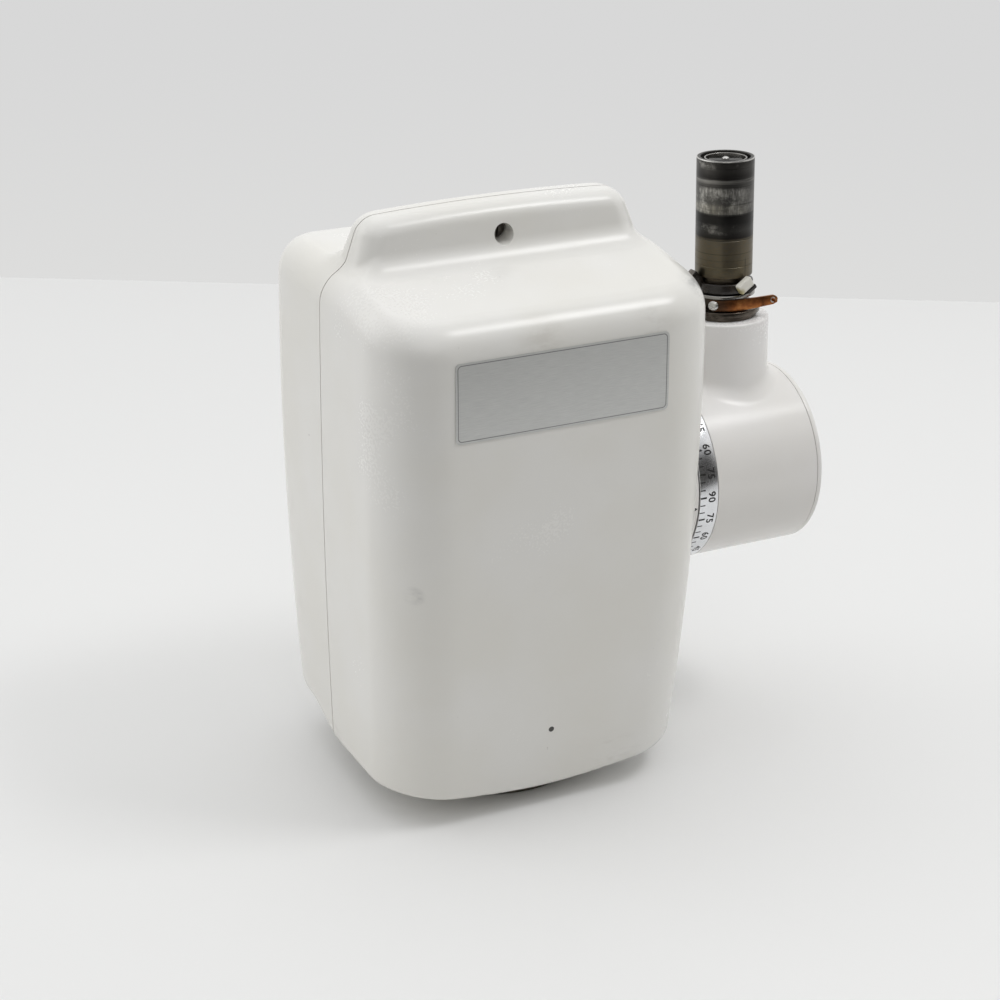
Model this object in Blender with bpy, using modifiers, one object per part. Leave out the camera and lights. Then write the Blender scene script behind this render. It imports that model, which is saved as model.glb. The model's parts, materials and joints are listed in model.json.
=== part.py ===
"""Dental X-ray tube head with a graduated swivel elbow and a steel arm spigot.

Units are metres, +Z is up and the head stands on its cone collar. The pieces are laid out in
the head's own coordinates: X runs along the elbow's axis, the shells part at Y = 0 and the
collar stands at Z = 0. The empty head_frame then puts the middle of the object's base on the
world origin. The elbow and everything above it hang on swivel_axis, and the spigot's pieces
on spigot_axis, so both joints turn about their own empties.
"""

import math

import bmesh
import bpy
from mathutils import Matrix, Vector

for old in list(bpy.data.objects):
    bpy.data.objects.remove(old, do_unlink=True)

MM = 0.001

# ---- Clearances --------------------------------------------------------------------------
GAP = 0.3 * MM            # between pieces that touch
RUNNING = 0.15 * MM       # radial play of a turning fit
OVERSHOOT = 2.0 * MM      # how far a cutter stands out of what it cuts

# ---- Head casing -------------------------------------------------------------------------
HALF_WIDTH = 75.2 * MM    # at its widest level
WIDEST_Z = 210.8 * MM
WIDTH_BOW = 0.129         # how fast the sides draw in, per metre of height squared
FRONT_DEPTH = 71.3 * MM   # parting plane to the front face
FULLEST_FRONT_Z = 133.1 * MM
FRONT_BOW = 0.438
REAR_DEPTH = 60.0 * MM    # parting plane to the rear face
FULLEST_REAR_Z = 192.7 * MM
REAR_BOW = 0.404
FRONT_CORNER = 28.0 * MM
REAR_CORNER = 20.0 * MM
WALL = 3.0 * MM
BELLY_Z = 9.2 * MM        # lowest point of the rounded underside
BELLY_RADIUS = 185.0 * MM
BELLY_CORNER = 15.0 * MM
SHOULDER_Z = 227.4 * MM
SHOULDER_CORNER = 11.0 * MM
LIP_Z = 222.5 * MM        # front end of the sloping deck
LIP_CORNER = 12.0 * MM
REAR_LIP_Z = 228.0 * MM
REAR_LIP_CORNER = 14.0 * MM
RIDGE_TOP = 250.9 * MM
RIDGE_CROWN = 1.3 * MM    # how much lower the ridge's ends are
RIDGE_HALF_FOOT = HALF_WIDTH - 10.6 * MM
RIDGE_HALF_TOP = RIDGE_HALF_FOOT - 7.0 * MM
RIDGE_END_CORNER = 9.0 * MM
RIDGE_FOOT_Z = 229.4 * MM
RIDGE_FRONT_FOOT = 15.5 * MM
RIDGE_FRONT_TOP = 10.2 * MM
RIDGE_REAR_FOOT = 12.5 * MM
RIDGE_REAR_TOP = 9.2 * MM
RIDGE_EDGE = 6.0 * MM
RIDGE_END_FILLET = 2.0 * MM
FILLET = 8.0 * MM         # along the ridge's foot, front and rear
PARTING_GAP = 0.4 * MM

LABEL_WIDTH = 93.7 * MM
LABEL_HEIGHT = 31.2 * MM
LABEL_Z = 194.0 * MM
LABEL_THICK = 0.5 * MM
LABEL_CORNER = 2.0 * MM

CASE_SCREW_Z = 238.9 * MM
ACCESS_RADIUS = 4.3 * MM
SCREW_HEAD_RADIUS = 3.6 * MM
SCREW_HEAD = 2.4 * MM
SCREW_RADIUS = 1.9 * MM
SCREW_SEAT_Y = -4.0 * MM
BOSS_WALL = 2.6 * MM

# ---- Beam port and cone collar -----------------------------------------------------------
PORT_Y = (REAR_DEPTH - FRONT_DEPTH) / 2 - 2.35 * MM   # beam axis, mid-depth in the belly
COLLAR_RADIUS = 44.0 * MM
BELLY_ROOM = (FRONT_DEPTH + REAR_DEPTH) / 2 - 11.9 * MM   # inside the shells, either way
COLLAR_FLANGE_RADIUS = min(COLLAR_RADIUS + 6.0 * MM, BELLY_ROOM)
COLLAR_FLANGE = 5.0 * MM
SOCKET_RADIUS = COLLAR_RADIUS - 11.0 * MM
SOCKET_DEPTH = 18.0 * MM
BEAM_BORE = SOCKET_RADIUS - 11.0 * MM
APERTURE_RADIUS = 12.0 * MM
WINDOW_RADIUS = APERTURE_RADIUS + 6.0 * MM

# ---- Oil tank and what it holds ----------------------------------------------------------
FLANGE_FACE = HALF_WIDTH + 8.3 * MM        # outer face of the head's boss
TANK_RIGHT = FLANGE_FACE - 33.5 * MM
TANK_FRONT = -FRONT_DEPTH + 22.3 * MM
TANK_REAR = REAR_DEPTH - 23.0 * MM
TANK_BASE = 33.5 * MM
BELLY_CLEARANCE = 8.0 * MM                 # under the tank's left edge
BELLY_REACH = math.sqrt((BELLY_RADIUS - WALL) ** 2
                        - (BELLY_Z + BELLY_RADIUS - TANK_BASE + BELLY_CLEARANCE) ** 2)
TANK_LEFT = -min(HALF_WIDTH - 15.2 * MM, BELLY_REACH)
TANK_TOP = 170.0 * MM
TANK_WALL = 3.0 * MM
RIM_WIDTH = 6.0 * MM
RIM_THICK = 5.0 * MM
GASKET_THICK = 1.6 * MM
LID_THICK = 4.0 * MM
LID_SCREW_RADIUS = 2.0 * MM
TUBE_Z = 66.0 * MM
TUBE_RADIUS = 17.0 * MM
TUBE_LENGTH = 80.0 * MM
TUBE_NECK = 9.0 * MM
GLASS = 1.6 * MM
SHIELD_THICK = 2.0 * MM
SHIELD_LENGTH = 50.0 * MM
CORE_WIDTH = 78.0 * MM
CORE_HEIGHT = 62.0 * MM
CORE_DEPTH = 20.0 * MM
CORE_LEG = 10.0 * MM
CORE_BASE = 94.0 * MM

# ---- Swivel between head and elbow -------------------------------------------------------
AXIS_Z = 114.8 * MM       # elbow axis above the table, in the parting plane
REST_TILT = -4.4          # degrees about +X: the spigot leans back at rest
TILT_RANGE = (-130.6, 139.4)
ELBOW_RADIUS = 40.0 * MM
FLANGE_CUP = FLANGE_FACE - 13.5 * MM       # floor of the cup that holds the nut
CUP_RADIUS = ELBOW_RADIUS - 2.0 * MM
CUP_BORE = CUP_RADIUS - 7.0 * MM
SHAFT_RADIUS = 14.7 * MM
SHAFT_BORE = 9.0 * MM
SHAFT_END = FLANGE_FACE - 23.5 * MM
BUSH_WALL = 2.2 * MM
FLANGE_SCREW_CIRCLE = CUP_RADIUS - 3.5 * MM
STOP_CIRCLE = 26.0 * MM
STOP_PIN_RADIUS = 2.5 * MM
STOP_GROOVE = 4.0 * MM
DIAL_START = FLANGE_FACE + 0.5 * MM
DIAL_END = DIAL_START + 8.9 * MM
DIAL_WALL = 3.5 * MM

# ---- Elbow and neck ----------------------------------------------------------------------
ELBOW_END = FLANGE_FACE + 60.1 * MM
ELBOW_WALL = 4.0 * MM
WEB_END = FLANGE_FACE + 12.5 * MM
CAP_THICK = 2.7 * MM
CAP_LIP = 4.0 * MM
NECK_X = FLANGE_FACE + 34.5 * MM
NECK_RADIUS = 20.0 * MM
NECK_TOP = 67.3 * MM      # above the elbow's axis
CABLE_RADIUS = 3.0 * MM

# ---- Spigot, heights above the elbow's axis ----------------------------------------------
SPIGOT_RADIUS = 12.5 * MM
SPIGOT_TOP = 137.3 * MM
SPIGOT_SHOULDER = 85.6 * MM
SPIGOT_WALL = 1.7 * MM
SEAT_RADIUS = SPIGOT_RADIUS - 1.5 * MM   # under the washers and the band
SHANK_RADIUS = SEAT_RADIUS - 1.0 * MM
NECK_BORE = SHANK_RADIUS + 4.0 * MM      # round the bushes and the circlip
SHANK_END = 33.0 * MM
SHANK_BORE = 6.0 * MM
LOWER_WASHER = 2.8 * MM
LOWER_WASHER_RADIUS = SPIGOT_RADIUS + 3.5 * MM
BAND_HEIGHT = 6.2 * MM
BAND_WALL = 1.6 * MM
BAND_RADIUS = SPIGOT_RADIUS + 1.5 * MM
BAND_TAIL = 18.3 * MM
UPPER_WASHER = 1.6 * MM
UPPER_WASHER_RADIUS = SPIGOT_RADIUS + 1.3 * MM
STOP_RING_HEIGHT = 4.2 * MM
STOP_RING_RADIUS = SPIGOT_RADIUS + 0.4 * MM
SLEEVE_RADIUS = SPIGOT_RADIUS - 3.2 * MM
SLEEVE_WALL = 0.7 * MM
CONTACT_DEPTH = 3.8 * MM  # rim to the insulator's face
CONTACT_BASE = 98.0 * MM
PIN_RADIUS = 1.5 * MM
PIN_COLLAR = 2.4 * MM

RIGHT_END = ELBOW_END + GAP + CAP_THICK
FRAME_SHIFT = Vector(((HALF_WIDTH - RIGHT_END) / 2, (FRONT_DEPTH - REAR_DEPTH) / 2, 0))

# ---- Collections and materials -----------------------------------------------------------
parts = bpy.data.collections.new("xray_tube_head")
guides = bpy.data.collections.new("cutters")
bpy.context.scene.collection.children.link(parts)
bpy.context.scene.collection.children.link(guides)


def finish(name, colour, roughness, metallic=0.0):
    made = bpy.data.materials.new(name)
    made.use_nodes = True
    shader = made.node_tree.nodes["Principled BSDF"]
    shader.inputs["Base Color"].default_value = (*colour, 1)
    shader.inputs["Roughness"].default_value = roughness
    shader.inputs["Metallic"].default_value = metallic
    return made


CASING = finish("casing_plastic", (0.74, 0.73, 0.70), 0.35)
PAINT = finish("elbow_paint", (0.72, 0.70, 0.68), 0.35)
LABEL = finish("label_foil", (0.55, 0.56, 0.56), 0.4, 0.6)
DIAL = finish("dial_aluminium", (0.75, 0.76, 0.78), 0.25, 1.0)
STEEL = finish("dark_steel", (0.07, 0.065, 0.06), 0.35, 1.0)
BRIGHT = finish("bright_steel", (0.5, 0.5, 0.5), 0.3, 1.0)
BRONZE = finish("spring_bronze", (0.32, 0.12, 0.04), 0.4, 1.0)
COPPER = finish("copper", (0.6, 0.25, 0.13), 0.4, 1.0)
BLACK = finish("black_plastic", (0.015, 0.015, 0.015), 0.5)
NYLON = finish("natural_nylon", (0.7, 0.68, 0.55), 0.5)
RUBBER = finish("rubber", (0.03, 0.03, 0.03), 0.8)
ALLOY = finish("cast_alloy", (0.45, 0.45, 0.46), 0.5, 1.0)
LEAD = finish("lead", (0.2, 0.2, 0.22), 0.6, 1.0)
GLASSY = finish("tube_glass", (0.75, 0.85, 0.82), 0.1)
IRON = finish("core_iron", (0.12, 0.12, 0.13), 0.5, 1.0)

# ---- Empties that carry the pieces -------------------------------------------------------


def empty(name, location, parent=None):
    made = bpy.data.objects.new(name, None)
    made.location = location
    made.parent = parent
    parts.objects.link(made)
    return made


head = empty("head_frame", FRAME_SHIFT)
elbow = empty("swivel_axis", (0, 0, AXIS_Z), head)
elbow.rotation_euler.x = math.radians(REST_TILT)
spigot = empty("spigot_axis", (NECK_X, 0, 0), elbow)

# ---- Modelling helpers -------------------------------------------------------------------


def place(name, mesh, carrier, look=None):
    """A piece in the parts collection, or with no look a cutter in the other one."""
    made = bpy.data.objects.new(name, mesh)
    made.parent = carrier
    if look:
        mesh.materials.append(look)
        parts.objects.link(made)
    else:
        made.hide_render = True
        made.display_type = "WIRE"
        guides.objects.link(made)
    return made


def from_bmesh(name, work, carrier, look=None):
    mesh = bpy.data.meshes.new(name)
    work.to_mesh(mesh)
    work.free()
    return place(name, mesh, carrier, look)


def box(name, low, high, carrier, look=None, edge=0.0):
    low, high = Vector(low), Vector(high)
    work = bmesh.new()
    bmesh.ops.create_cube(work, size=1.0)
    bmesh.ops.scale(work, vec=high - low, verts=work.verts)
    bmesh.ops.translate(work, vec=(low + high) / 2, verts=work.verts)
    made = from_bmesh(name, work, carrier, look)
    if edge:
        soften(made, edge)
    return made


def rod(name, radius, start, end, carrier, look=None, sides=16):
    """A cylinder from one point to another."""
    start, end = Vector(start), Vector(end)
    along = end - start
    turn = along.to_track_quat("Z", "Y").to_matrix().to_4x4()
    work = bmesh.new()
    bmesh.ops.create_cone(work, cap_ends=True, segments=sides, radius1=radius,
                          radius2=radius, depth=along.length)
    bmesh.ops.transform(work, matrix=Matrix.Translation((start + end) / 2) @ turn,
                        verts=work.verts)
    made = from_bmesh(name, work, carrier, look)
    smooth(made)
    return made


def turned(name, profile, carrier, look=None, axis="Z", centre=(0, 0, 0), steps=24):
    """A profile of (radius, height) that runs down its outer side, screwed about an axis.

    It is closed back to its start, unless its ends lie on the axis.
    """
    mesh = bpy.data.meshes.new(name)
    edges = [(i, i + 1) for i in range(len(profile) - 1)]
    if profile[0][0] > 0:
        edges.append((len(profile) - 1, 0))
    mesh.from_pydata([(radius, 0, height) for radius, height in profile], edges, [])
    made = place(name, mesh, carrier, look)
    made.location = centre
    if axis == "X":
        made.rotation_euler.y = math.pi / 2
    screw = made.modifiers.new("turn", "SCREW")
    screw.steps = screw.render_steps = steps
    screw.use_merge_vertices = True
    screw.merge_threshold = 1e-6
    return made


def ring(name, outer, inner, start, end, carrier, look=None, axis="Z", centre=(0, 0, 0),
         steps=20):
    """A plain ring between two heights, given in either order."""
    low, high = sorted((start, end))
    profile = [(outer, high), (outer, low), (inner, low), (inner, high)]
    return turned(name, profile, carrier, look, axis, centre, steps)


def smooth(made):
    made.data.shade_smooth()
    made.data.set_sharp_from_angle(angle=math.radians(35))


def soften(made, width, segments=2):
    bevel = made.modifiers.new("edges", "BEVEL")
    bevel.width = width
    bevel.segments = segments
    bevel.limit_method = "ANGLE"
    return made


def combine(made, operation, *others):
    for other in others:
        step = made.modifiers.new(f"{operation} {other.name}".lower(), "BOOLEAN")
        step.operation = operation
        step.object = other
        step.solver = "EXACT"
    return made


def cut(made, *others):
    return combine(made, "DIFFERENCE", *others)


def join(made, *others):
    return combine(made, "UNION", *others)


def filleted(corners, steps=5):
    """The outline through (u, v, radius) corners, each with an arc of its radius."""
    outline = []
    for i, (u, v, radius) in enumerate(corners):
        here = Vector((u, v))
        if not radius:
            outline.append(here)
            continue
        back = (Vector(corners[i - 1][:2]) - here).normalized()
        ahead = (Vector(corners[(i + 1) % len(corners)][:2]) - here).normalized()
        half = back.angle(ahead) / 2
        centre = here + (back + ahead).normalized() * radius / math.sin(half)
        start = here + back * radius / math.tan(half) - centre
        sweep = start.angle_signed(here + ahead * radius / math.tan(half) - centre)
        for step in range(steps + 1):
            outline.append(centre + Matrix.Rotation(-sweep * step / steps, 2) @ start)
    return outline


def prism(name, outline, thickness, turn, carrier, look=None):
    """A flat outline given both ways thickness / 2, as one welded mesh, then turned."""
    data = bpy.data.curves.new(name, "CURVE")
    data.dimensions = "2D"
    data.fill_mode = "BOTH"
    data.extrude = thickness / 2
    spline = data.splines.new("POLY")
    spline.points.add(len(outline) - 1)
    for point, (u, v) in zip(spline.points, outline):
        point.co = (u, v, 0, 1)
    spline.use_cyclic_u = True
    flat = bpy.data.objects.new(name + "_outline", data)
    guides.objects.link(flat)
    bpy.context.view_layer.update()
    evaluated = flat.evaluated_get(bpy.context.evaluated_depsgraph_get())
    mesh = bpy.data.meshes.new_from_object(evaluated)
    bpy.data.objects.remove(flat)
    work = bmesh.new()
    work.from_mesh(mesh)
    bmesh.ops.remove_doubles(work, verts=work.verts, dist=1e-6)
    bmesh.ops.transform(work, matrix=turn, verts=work.verts)
    bmesh.ops.recalc_face_normals(work, faces=work.faces)
    bpy.data.meshes.remove(mesh)
    return from_bmesh(name, work, carrier, look)


FACING_FRONT = Matrix.Rotation(math.pi / 2, 4, "X")           # (u, v) becomes (x, z)
FACING_SIDE = Matrix.Rotation(math.pi / 2, 4, "Z") @ FACING_FRONT  # (u, v) becomes (y, z)


def around(count, radius, start=0.0):
    """Points spaced evenly round a circle, as (cos, sin) pairs times the radius."""
    for step in range(count):
        angle = math.radians(start) + 2 * math.pi * step / count
        yield radius * math.cos(angle), radius * math.sin(angle)


# ---- The casing's outer form -------------------------------------------------------------


def half_width(z):
    return HALF_WIDTH - WIDTH_BOW * (z - WIDEST_Z) ** 2


def front_depth(z):
    return FRONT_DEPTH - FRONT_BOW * (z - FULLEST_FRONT_Z) ** 2


def rear_depth(z):
    return REAR_DEPTH - REAR_BOW * (z - FULLEST_REAR_Z) ** 2


def belly(x, inset):
    """Height of the underside's arc at x."""
    radius = BELLY_RADIUS - inset
    return BELLY_Z + BELLY_RADIUS - math.sqrt(radius**2 - x**2)


def bowed_block(name, inset, look):
    """The casing's walls: a block with round upright edges, bowed in front, rear and side."""
    top = RIDGE_TOP + 10 * MM
    work = bmesh.new()
    bmesh.ops.create_cube(work, size=1.0)
    size = (2 * HALF_WIDTH, FRONT_DEPTH + REAR_DEPTH, top + 10 * MM)
    bmesh.ops.scale(work, vec=Vector(size) - Vector((2 * inset, 2 * inset, 0)), verts=work.verts)
    shift = Vector((0, (REAR_DEPTH - FRONT_DEPTH) / 2, (top - 10 * MM) / 2))
    bmesh.ops.translate(work, vec=shift, verts=work.verts)
    for side, radius in ((-1, FRONT_CORNER), (1, REAR_CORNER)):
        upright = [e for e in work.edges
                   if abs(e.verts[0].co.z - e.verts[1].co.z) > top / 2
                   and e.verts[0].co.y * side > 0 and e.verts[1].co.y * side > 0
                   and abs(abs(e.verts[0].co.x) - (HALF_WIDTH - inset)) < 1e-5]
        bmesh.ops.bevel(work, geom=upright, offset=radius - inset, segments=6, profile=0.5,
                        affect="EDGES")
    levels = (30 * MM, 60 * MM, 95 * MM, FULLEST_FRONT_Z, 165 * MM, FULLEST_REAR_Z, WIDEST_Z)
    for level in levels:
        geometry = work.verts[:] + work.edges[:] + work.faces[:]
        bmesh.ops.bisect_plane(work, geom=geometry, plane_co=(0, 0, level), plane_no=(0, 0, 1))
    for vert in work.verts:
        z = vert.co.z
        vert.co.x *= (half_width(z) - inset) / (HALF_WIDTH - inset)
        if vert.co.y < 0:
            vert.co.y *= (front_depth(z) - inset) / (FRONT_DEPTH - inset)
        else:
            vert.co.y *= (rear_depth(z) - inset) / (REAR_DEPTH - inset)
    return from_bmesh(name, work, head, look)


def front_outline(inset):
    """The casing seen from the front: round belly, shoulders and the ridge on top."""
    proud = 0.4 * MM
    foot, tip = RIDGE_HALF_FOOT - inset, RIDGE_HALF_TOP - inset
    arc_end = HALF_WIDTH - 19.2 * MM
    half = [(arc_end * i / 6, belly(arc_end * i / 6, inset), 0) for i in range(7)]
    corner = half_width(BELLY_Z + BELLY_CORNER) + proud - inset
    half.append((corner, belly(corner, inset), BELLY_CORNER - inset))
    for level in (60 * MM, FULLEST_FRONT_Z):
        half.append((half_width(level) + proud - inset, level, 0))
    half.append((HALF_WIDTH + proud - inset, SHOULDER_Z - inset, SHOULDER_CORNER - inset))
    half.append((foot, RIDGE_FOOT_Z - inset, RIDGE_END_FILLET))
    half.append((tip, RIDGE_TOP - RIDGE_CROWN - inset, RIDGE_END_CORNER - inset))
    crown = [(20 * MM, RIDGE_TOP - RIDGE_CROWN / 5 - inset, 0)]
    right = half + crown
    left = [(-x, z, radius) for x, z, radius in reversed(right[1:])]
    return filleted(right + [(0, RIDGE_TOP - inset, 0)] + left)


def side_outline(inset):
    """The casing seen from the side: the deck slopes to the front, with the ridge on it."""
    proud = 0.4 * MM
    top = RIDGE_TOP + proud - inset
    front = front_depth(LIP_Z) + proud - inset
    rear = rear_depth(REAR_LIP_Z) + proud - inset
    low = -20 * MM
    bulge = FRONT_DEPTH + 3 * MM
    return filleted([
        (-bulge, low, 0),
        (REAR_DEPTH + 3 * MM, low, 0),
        (REAR_DEPTH + 3 * MM, FULLEST_REAR_Z, 0),
        (rear, REAR_LIP_Z - REAR_LIP_CORNER - 4 * MM, 0),
        (rear, REAR_LIP_Z - inset, REAR_LIP_CORNER - inset),
        (RIDGE_REAR_FOOT - inset, RIDGE_FOOT_Z - inset, FILLET),
        (RIDGE_REAR_TOP - inset, top, RIDGE_EDGE - inset),
        (-RIDGE_FRONT_TOP + inset, top, RIDGE_EDGE - inset),
        (-RIDGE_FRONT_FOOT + inset, RIDGE_FOOT_Z - inset, FILLET),
        (-front, LIP_Z - inset, LIP_CORNER - inset),
        (-front, LIP_Z - LIP_CORNER - 4 * MM, 0),
        (-bulge, FULLEST_REAR_Z, 0),
    ])


def casing_form(name, inset, look=None):
    """The closed form of the casing, or of its hollow when it is inset by the wall."""
    span = 4 * HALF_WIDTH
    seen_front = prism(name + "_front_view", front_outline(inset), span, FACING_FRONT, head)
    seen_side = prism(name + "_side_view", side_outline(inset), span, FACING_SIDE, head)
    return combine(bowed_block(name, inset, look), "INTERSECT", seen_front, seen_side)


# ---- Head: the two shells ----------------------------------------------------------------
port_cutter = rod("port_cutter", COLLAR_RADIUS + 2 * GAP, (0, PORT_Y, -10 * MM),
                  (0, PORT_Y, 30 * MM), head, sides=40)
boss_cutter = rod("boss_cutter", ELBOW_RADIUS + GAP, (60 * MM, 0, AXIS_Z),
                  (90 * MM, 0, AXIS_Z), head, sides=40)


def shell(name, side):
    """One half of the casing: side is -1 for the front half and 1 for the rear one."""
    made = casing_form(name, 0.0, CASING)
    hollow = casing_form(name + "_hollow", WALL)
    reach = 200 * MM
    other_half = sorted((-side * reach, side * PARTING_GAP / 2))
    away = box(name + "_other_half", (-reach, other_half[0], -reach),
               (reach, other_half[1], 2 * reach), head)
    cut(made, hollow, away, port_cutter, boss_cutter)
    smooth(made)
    return made


front_shell = shell("front_shell", -1)
rear_shell = shell("rear_shell", 1)

boss_radius = ACCESS_RADIUS + BOSS_WALL
ridge_wall = RIDGE_FRONT_TOP - WALL / 2
join(front_shell, rod("front_boss", boss_radius, (0, -ridge_wall, CASE_SCREW_Z),
                      (0, -PARTING_GAP / 2, CASE_SCREW_Z), head))
cut(front_shell,
    rod("screw_access", ACCESS_RADIUS, (0, -30 * MM, CASE_SCREW_Z),
        (0, SCREW_SEAT_Y, CASE_SCREW_Z), head),
    rod("screw_clearance", SCREW_RADIUS + GAP, (0, SCREW_SEAT_Y - OVERSHOOT, CASE_SCREW_Z),
        (0, OVERSHOOT, CASE_SCREW_Z), head, sides=16))
join(rear_shell, rod("rear_boss", boss_radius - 1 * MM, (0, PARTING_GAP / 2, CASE_SCREW_Z),
                     (0, RIDGE_REAR_TOP - WALL / 2, CASE_SCREW_Z), head))
SCREW_LENGTH = RIDGE_REAR_TOP - WALL - SCREW_SEAT_Y - GAP
cut(rear_shell, rod("screw_pilot", SCREW_RADIUS + GAP, (0, -OVERSHOOT, CASE_SCREW_Z),
                    (0, SCREW_SEAT_Y + SCREW_LENGTH + GAP, CASE_SCREW_Z), head, sides=16))
for side in (-1, 1):
    tongue_x = side * (HALF_WIDTH - 15.2 * MM)
    tongue_z = belly(abs(tongue_x), WALL)
    tongue = box(f"hook_tongue_{side}", (tongue_x - 5 * MM, -6 * MM, tongue_z + 4 * MM),
                 (tongue_x + 5 * MM, 4 * MM, tongue_z + 7 * MM), head)
    root = box(f"hook_root_{side}", (tongue_x - 5 * MM, 2 * MM, tongue_z - WALL / 2),
               (tongue_x + 5 * MM, 6 * MM, tongue_z + 7 * MM), head)
    join(rear_shell, root, tongue)

case_screw = turned("case_screw", [
    (0, SCREW_HEAD), (SCREW_HEAD_RADIUS - 0.6 * MM, SCREW_HEAD),
    (SCREW_HEAD_RADIUS, SCREW_HEAD - 0.6 * MM), (SCREW_HEAD_RADIUS, 0),
    (SCREW_RADIUS, 0), (SCREW_RADIUS, -SCREW_LENGTH), (0, -SCREW_LENGTH),
], head, STEEL, centre=(0, SCREW_SEAT_Y - GAP, CASE_SCREW_Z), steps=20)
case_screw.rotation_euler.x = math.pi / 2
slot = box("case_screw_slot", (-0.5 * MM, -5 * MM, SCREW_HEAD - 1.1 * MM),
           (0.5 * MM, 5 * MM, SCREW_HEAD + 1 * MM), case_screw)
cut(case_screw, slot)

# ---- Head: the label plate, bare ---------------------------------------------------------
label_slope = (front_depth(LABEL_Z - LABEL_HEIGHT / 2) - front_depth(LABEL_Z + LABEL_HEIGHT / 2))
half_w, half_h = LABEL_WIDTH / 2, LABEL_HEIGHT / 2
label_outline = filleted([(-half_w, -half_h, LABEL_CORNER), (half_w, -half_h, LABEL_CORNER),
                          (half_w, half_h, LABEL_CORNER), (-half_w, half_h, LABEL_CORNER)], 4)
label = prism("label_plate", label_outline, LABEL_THICK, FACING_FRONT, head, LABEL)
label.location = (0, -front_depth(LABEL_Z) - GAP - LABEL_THICK / 2, LABEL_Z)
label.rotation_euler.x = -math.atan2(label_slope, LABEL_HEIGHT)

# ---- Head: beam port ---------------------------------------------------------------------
PORT = (0, PORT_Y, 0)
COLLAR_TOP = TANK_BASE - GAP
collar = turned("cone_collar", [
    (COLLAR_FLANGE_RADIUS, COLLAR_TOP),
    (COLLAR_FLANGE_RADIUS, COLLAR_TOP - COLLAR_FLANGE),
    (COLLAR_RADIUS, COLLAR_TOP - COLLAR_FLANGE),
    (COLLAR_RADIUS, 1.2 * MM),
    (COLLAR_RADIUS - 1.2 * MM, 0),
    (SOCKET_RADIUS + 1 * MM, 0),
    (SOCKET_RADIUS, 1 * MM),
    (SOCKET_RADIUS, SOCKET_DEPTH + 4 * MM),
    (BEAM_BORE, SOCKET_DEPTH + 4 * MM),
    (BEAM_BORE, COLLAR_TOP),
], head, BLACK, centre=PORT, steps=36)
ring("diaphragm_clip", SOCKET_RADIUS - GAP, SOCKET_RADIUS - 4 * MM, SOCKET_DEPTH,
     SOCKET_DEPTH + 1.4 * MM, head, BRIGHT, centre=PORT)
ring("lead_diaphragm", SOCKET_RADIUS - GAP, APERTURE_RADIUS, SOCKET_DEPTH + 1.4 * MM + GAP,
     SOCKET_DEPTH + 4 * MM - GAP, head, LEAD, centre=PORT)
FILTER_TOP = SOCKET_DEPTH + 5.8 * MM
rod("beam_filter", BEAM_BORE - GAP, (0, PORT_Y, SOCKET_DEPTH + 4 * MM),
    (0, PORT_Y, FILTER_TOP), head, ALLOY, sides=32)
WINDOW_TOP = TANK_BASE + TANK_WALL + 3 * MM
turned("beam_window", [
    (WINDOW_RADIUS, WINDOW_TOP), (WINDOW_RADIUS, TANK_BASE - GAP),
    (BEAM_BORE - GAP, TANK_BASE - GAP), (BEAM_BORE - GAP, FILTER_TOP + GAP),
    (0, FILTER_TOP + GAP), (0, FILTER_TOP + 1.5 * MM),
    (WINDOW_RADIUS - 2 * MM, FILTER_TOP + 1.5 * MM), (WINDOW_RADIUS - 2 * MM, WINDOW_TOP),
], head, BLACK, centre=PORT)

# ---- Head: the oil tank ------------------------------------------------------------------
tank = box("oil_tank", (TANK_LEFT, TANK_FRONT, TANK_BASE), (TANK_RIGHT, TANK_REAR, TANK_TOP),
           head, ALLOY)
rim = box("tank_rim", (TANK_LEFT - RIM_WIDTH, TANK_FRONT - RIM_WIDTH, TANK_TOP - RIM_THICK),
          (TANK_RIGHT + RIM_WIDTH, TANK_REAR + RIM_WIDTH, TANK_TOP), head)
PAD = 7 * MM
pad = rod("flange_pad", CUP_RADIUS, (TANK_RIGHT - TANK_WALL - PAD, 0, AXIS_Z),
          (TANK_RIGHT - 1 * MM, 0, AXIS_Z), head, sides=28)
tank_hollow = box("tank_hollow",
                  (TANK_LEFT + TANK_WALL, TANK_FRONT + TANK_WALL, TANK_BASE + TANK_WALL),
                  (TANK_RIGHT - TANK_WALL, TANK_REAR - TANK_WALL, TANK_TOP + 4 * MM), head)
window_hole = rod("window_hole", WINDOW_RADIUS + GAP, (0, PORT_Y, TANK_BASE - OVERSHOOT),
                  (0, PORT_Y, TANK_BASE + TANK_WALL + OVERSHOOT), head, sides=32)
join(tank, rim)
cut(tank, tank_hollow)
join(tank, pad)
cut(tank, window_hole)

LID_BASE = TANK_TOP + GAP + GASKET_THICK + GAP
gasket = box("tank_gasket",
             (TANK_LEFT - RIM_WIDTH, TANK_FRONT - RIM_WIDTH, TANK_TOP + GAP),
             (TANK_RIGHT + RIM_WIDTH, TANK_REAR + RIM_WIDTH, TANK_TOP + GAP + GASKET_THICK),
             head, RUBBER)
cut(gasket, tank_hollow)
lid = box("tank_lid", (TANK_LEFT - RIM_WIDTH, TANK_FRONT - RIM_WIDTH, LID_BASE),
          (TANK_RIGHT + RIM_WIDTH, TANK_REAR + RIM_WIDTH, LID_BASE + LID_THICK), head, ALLOY,
          edge=0.5 * MM)

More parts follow.
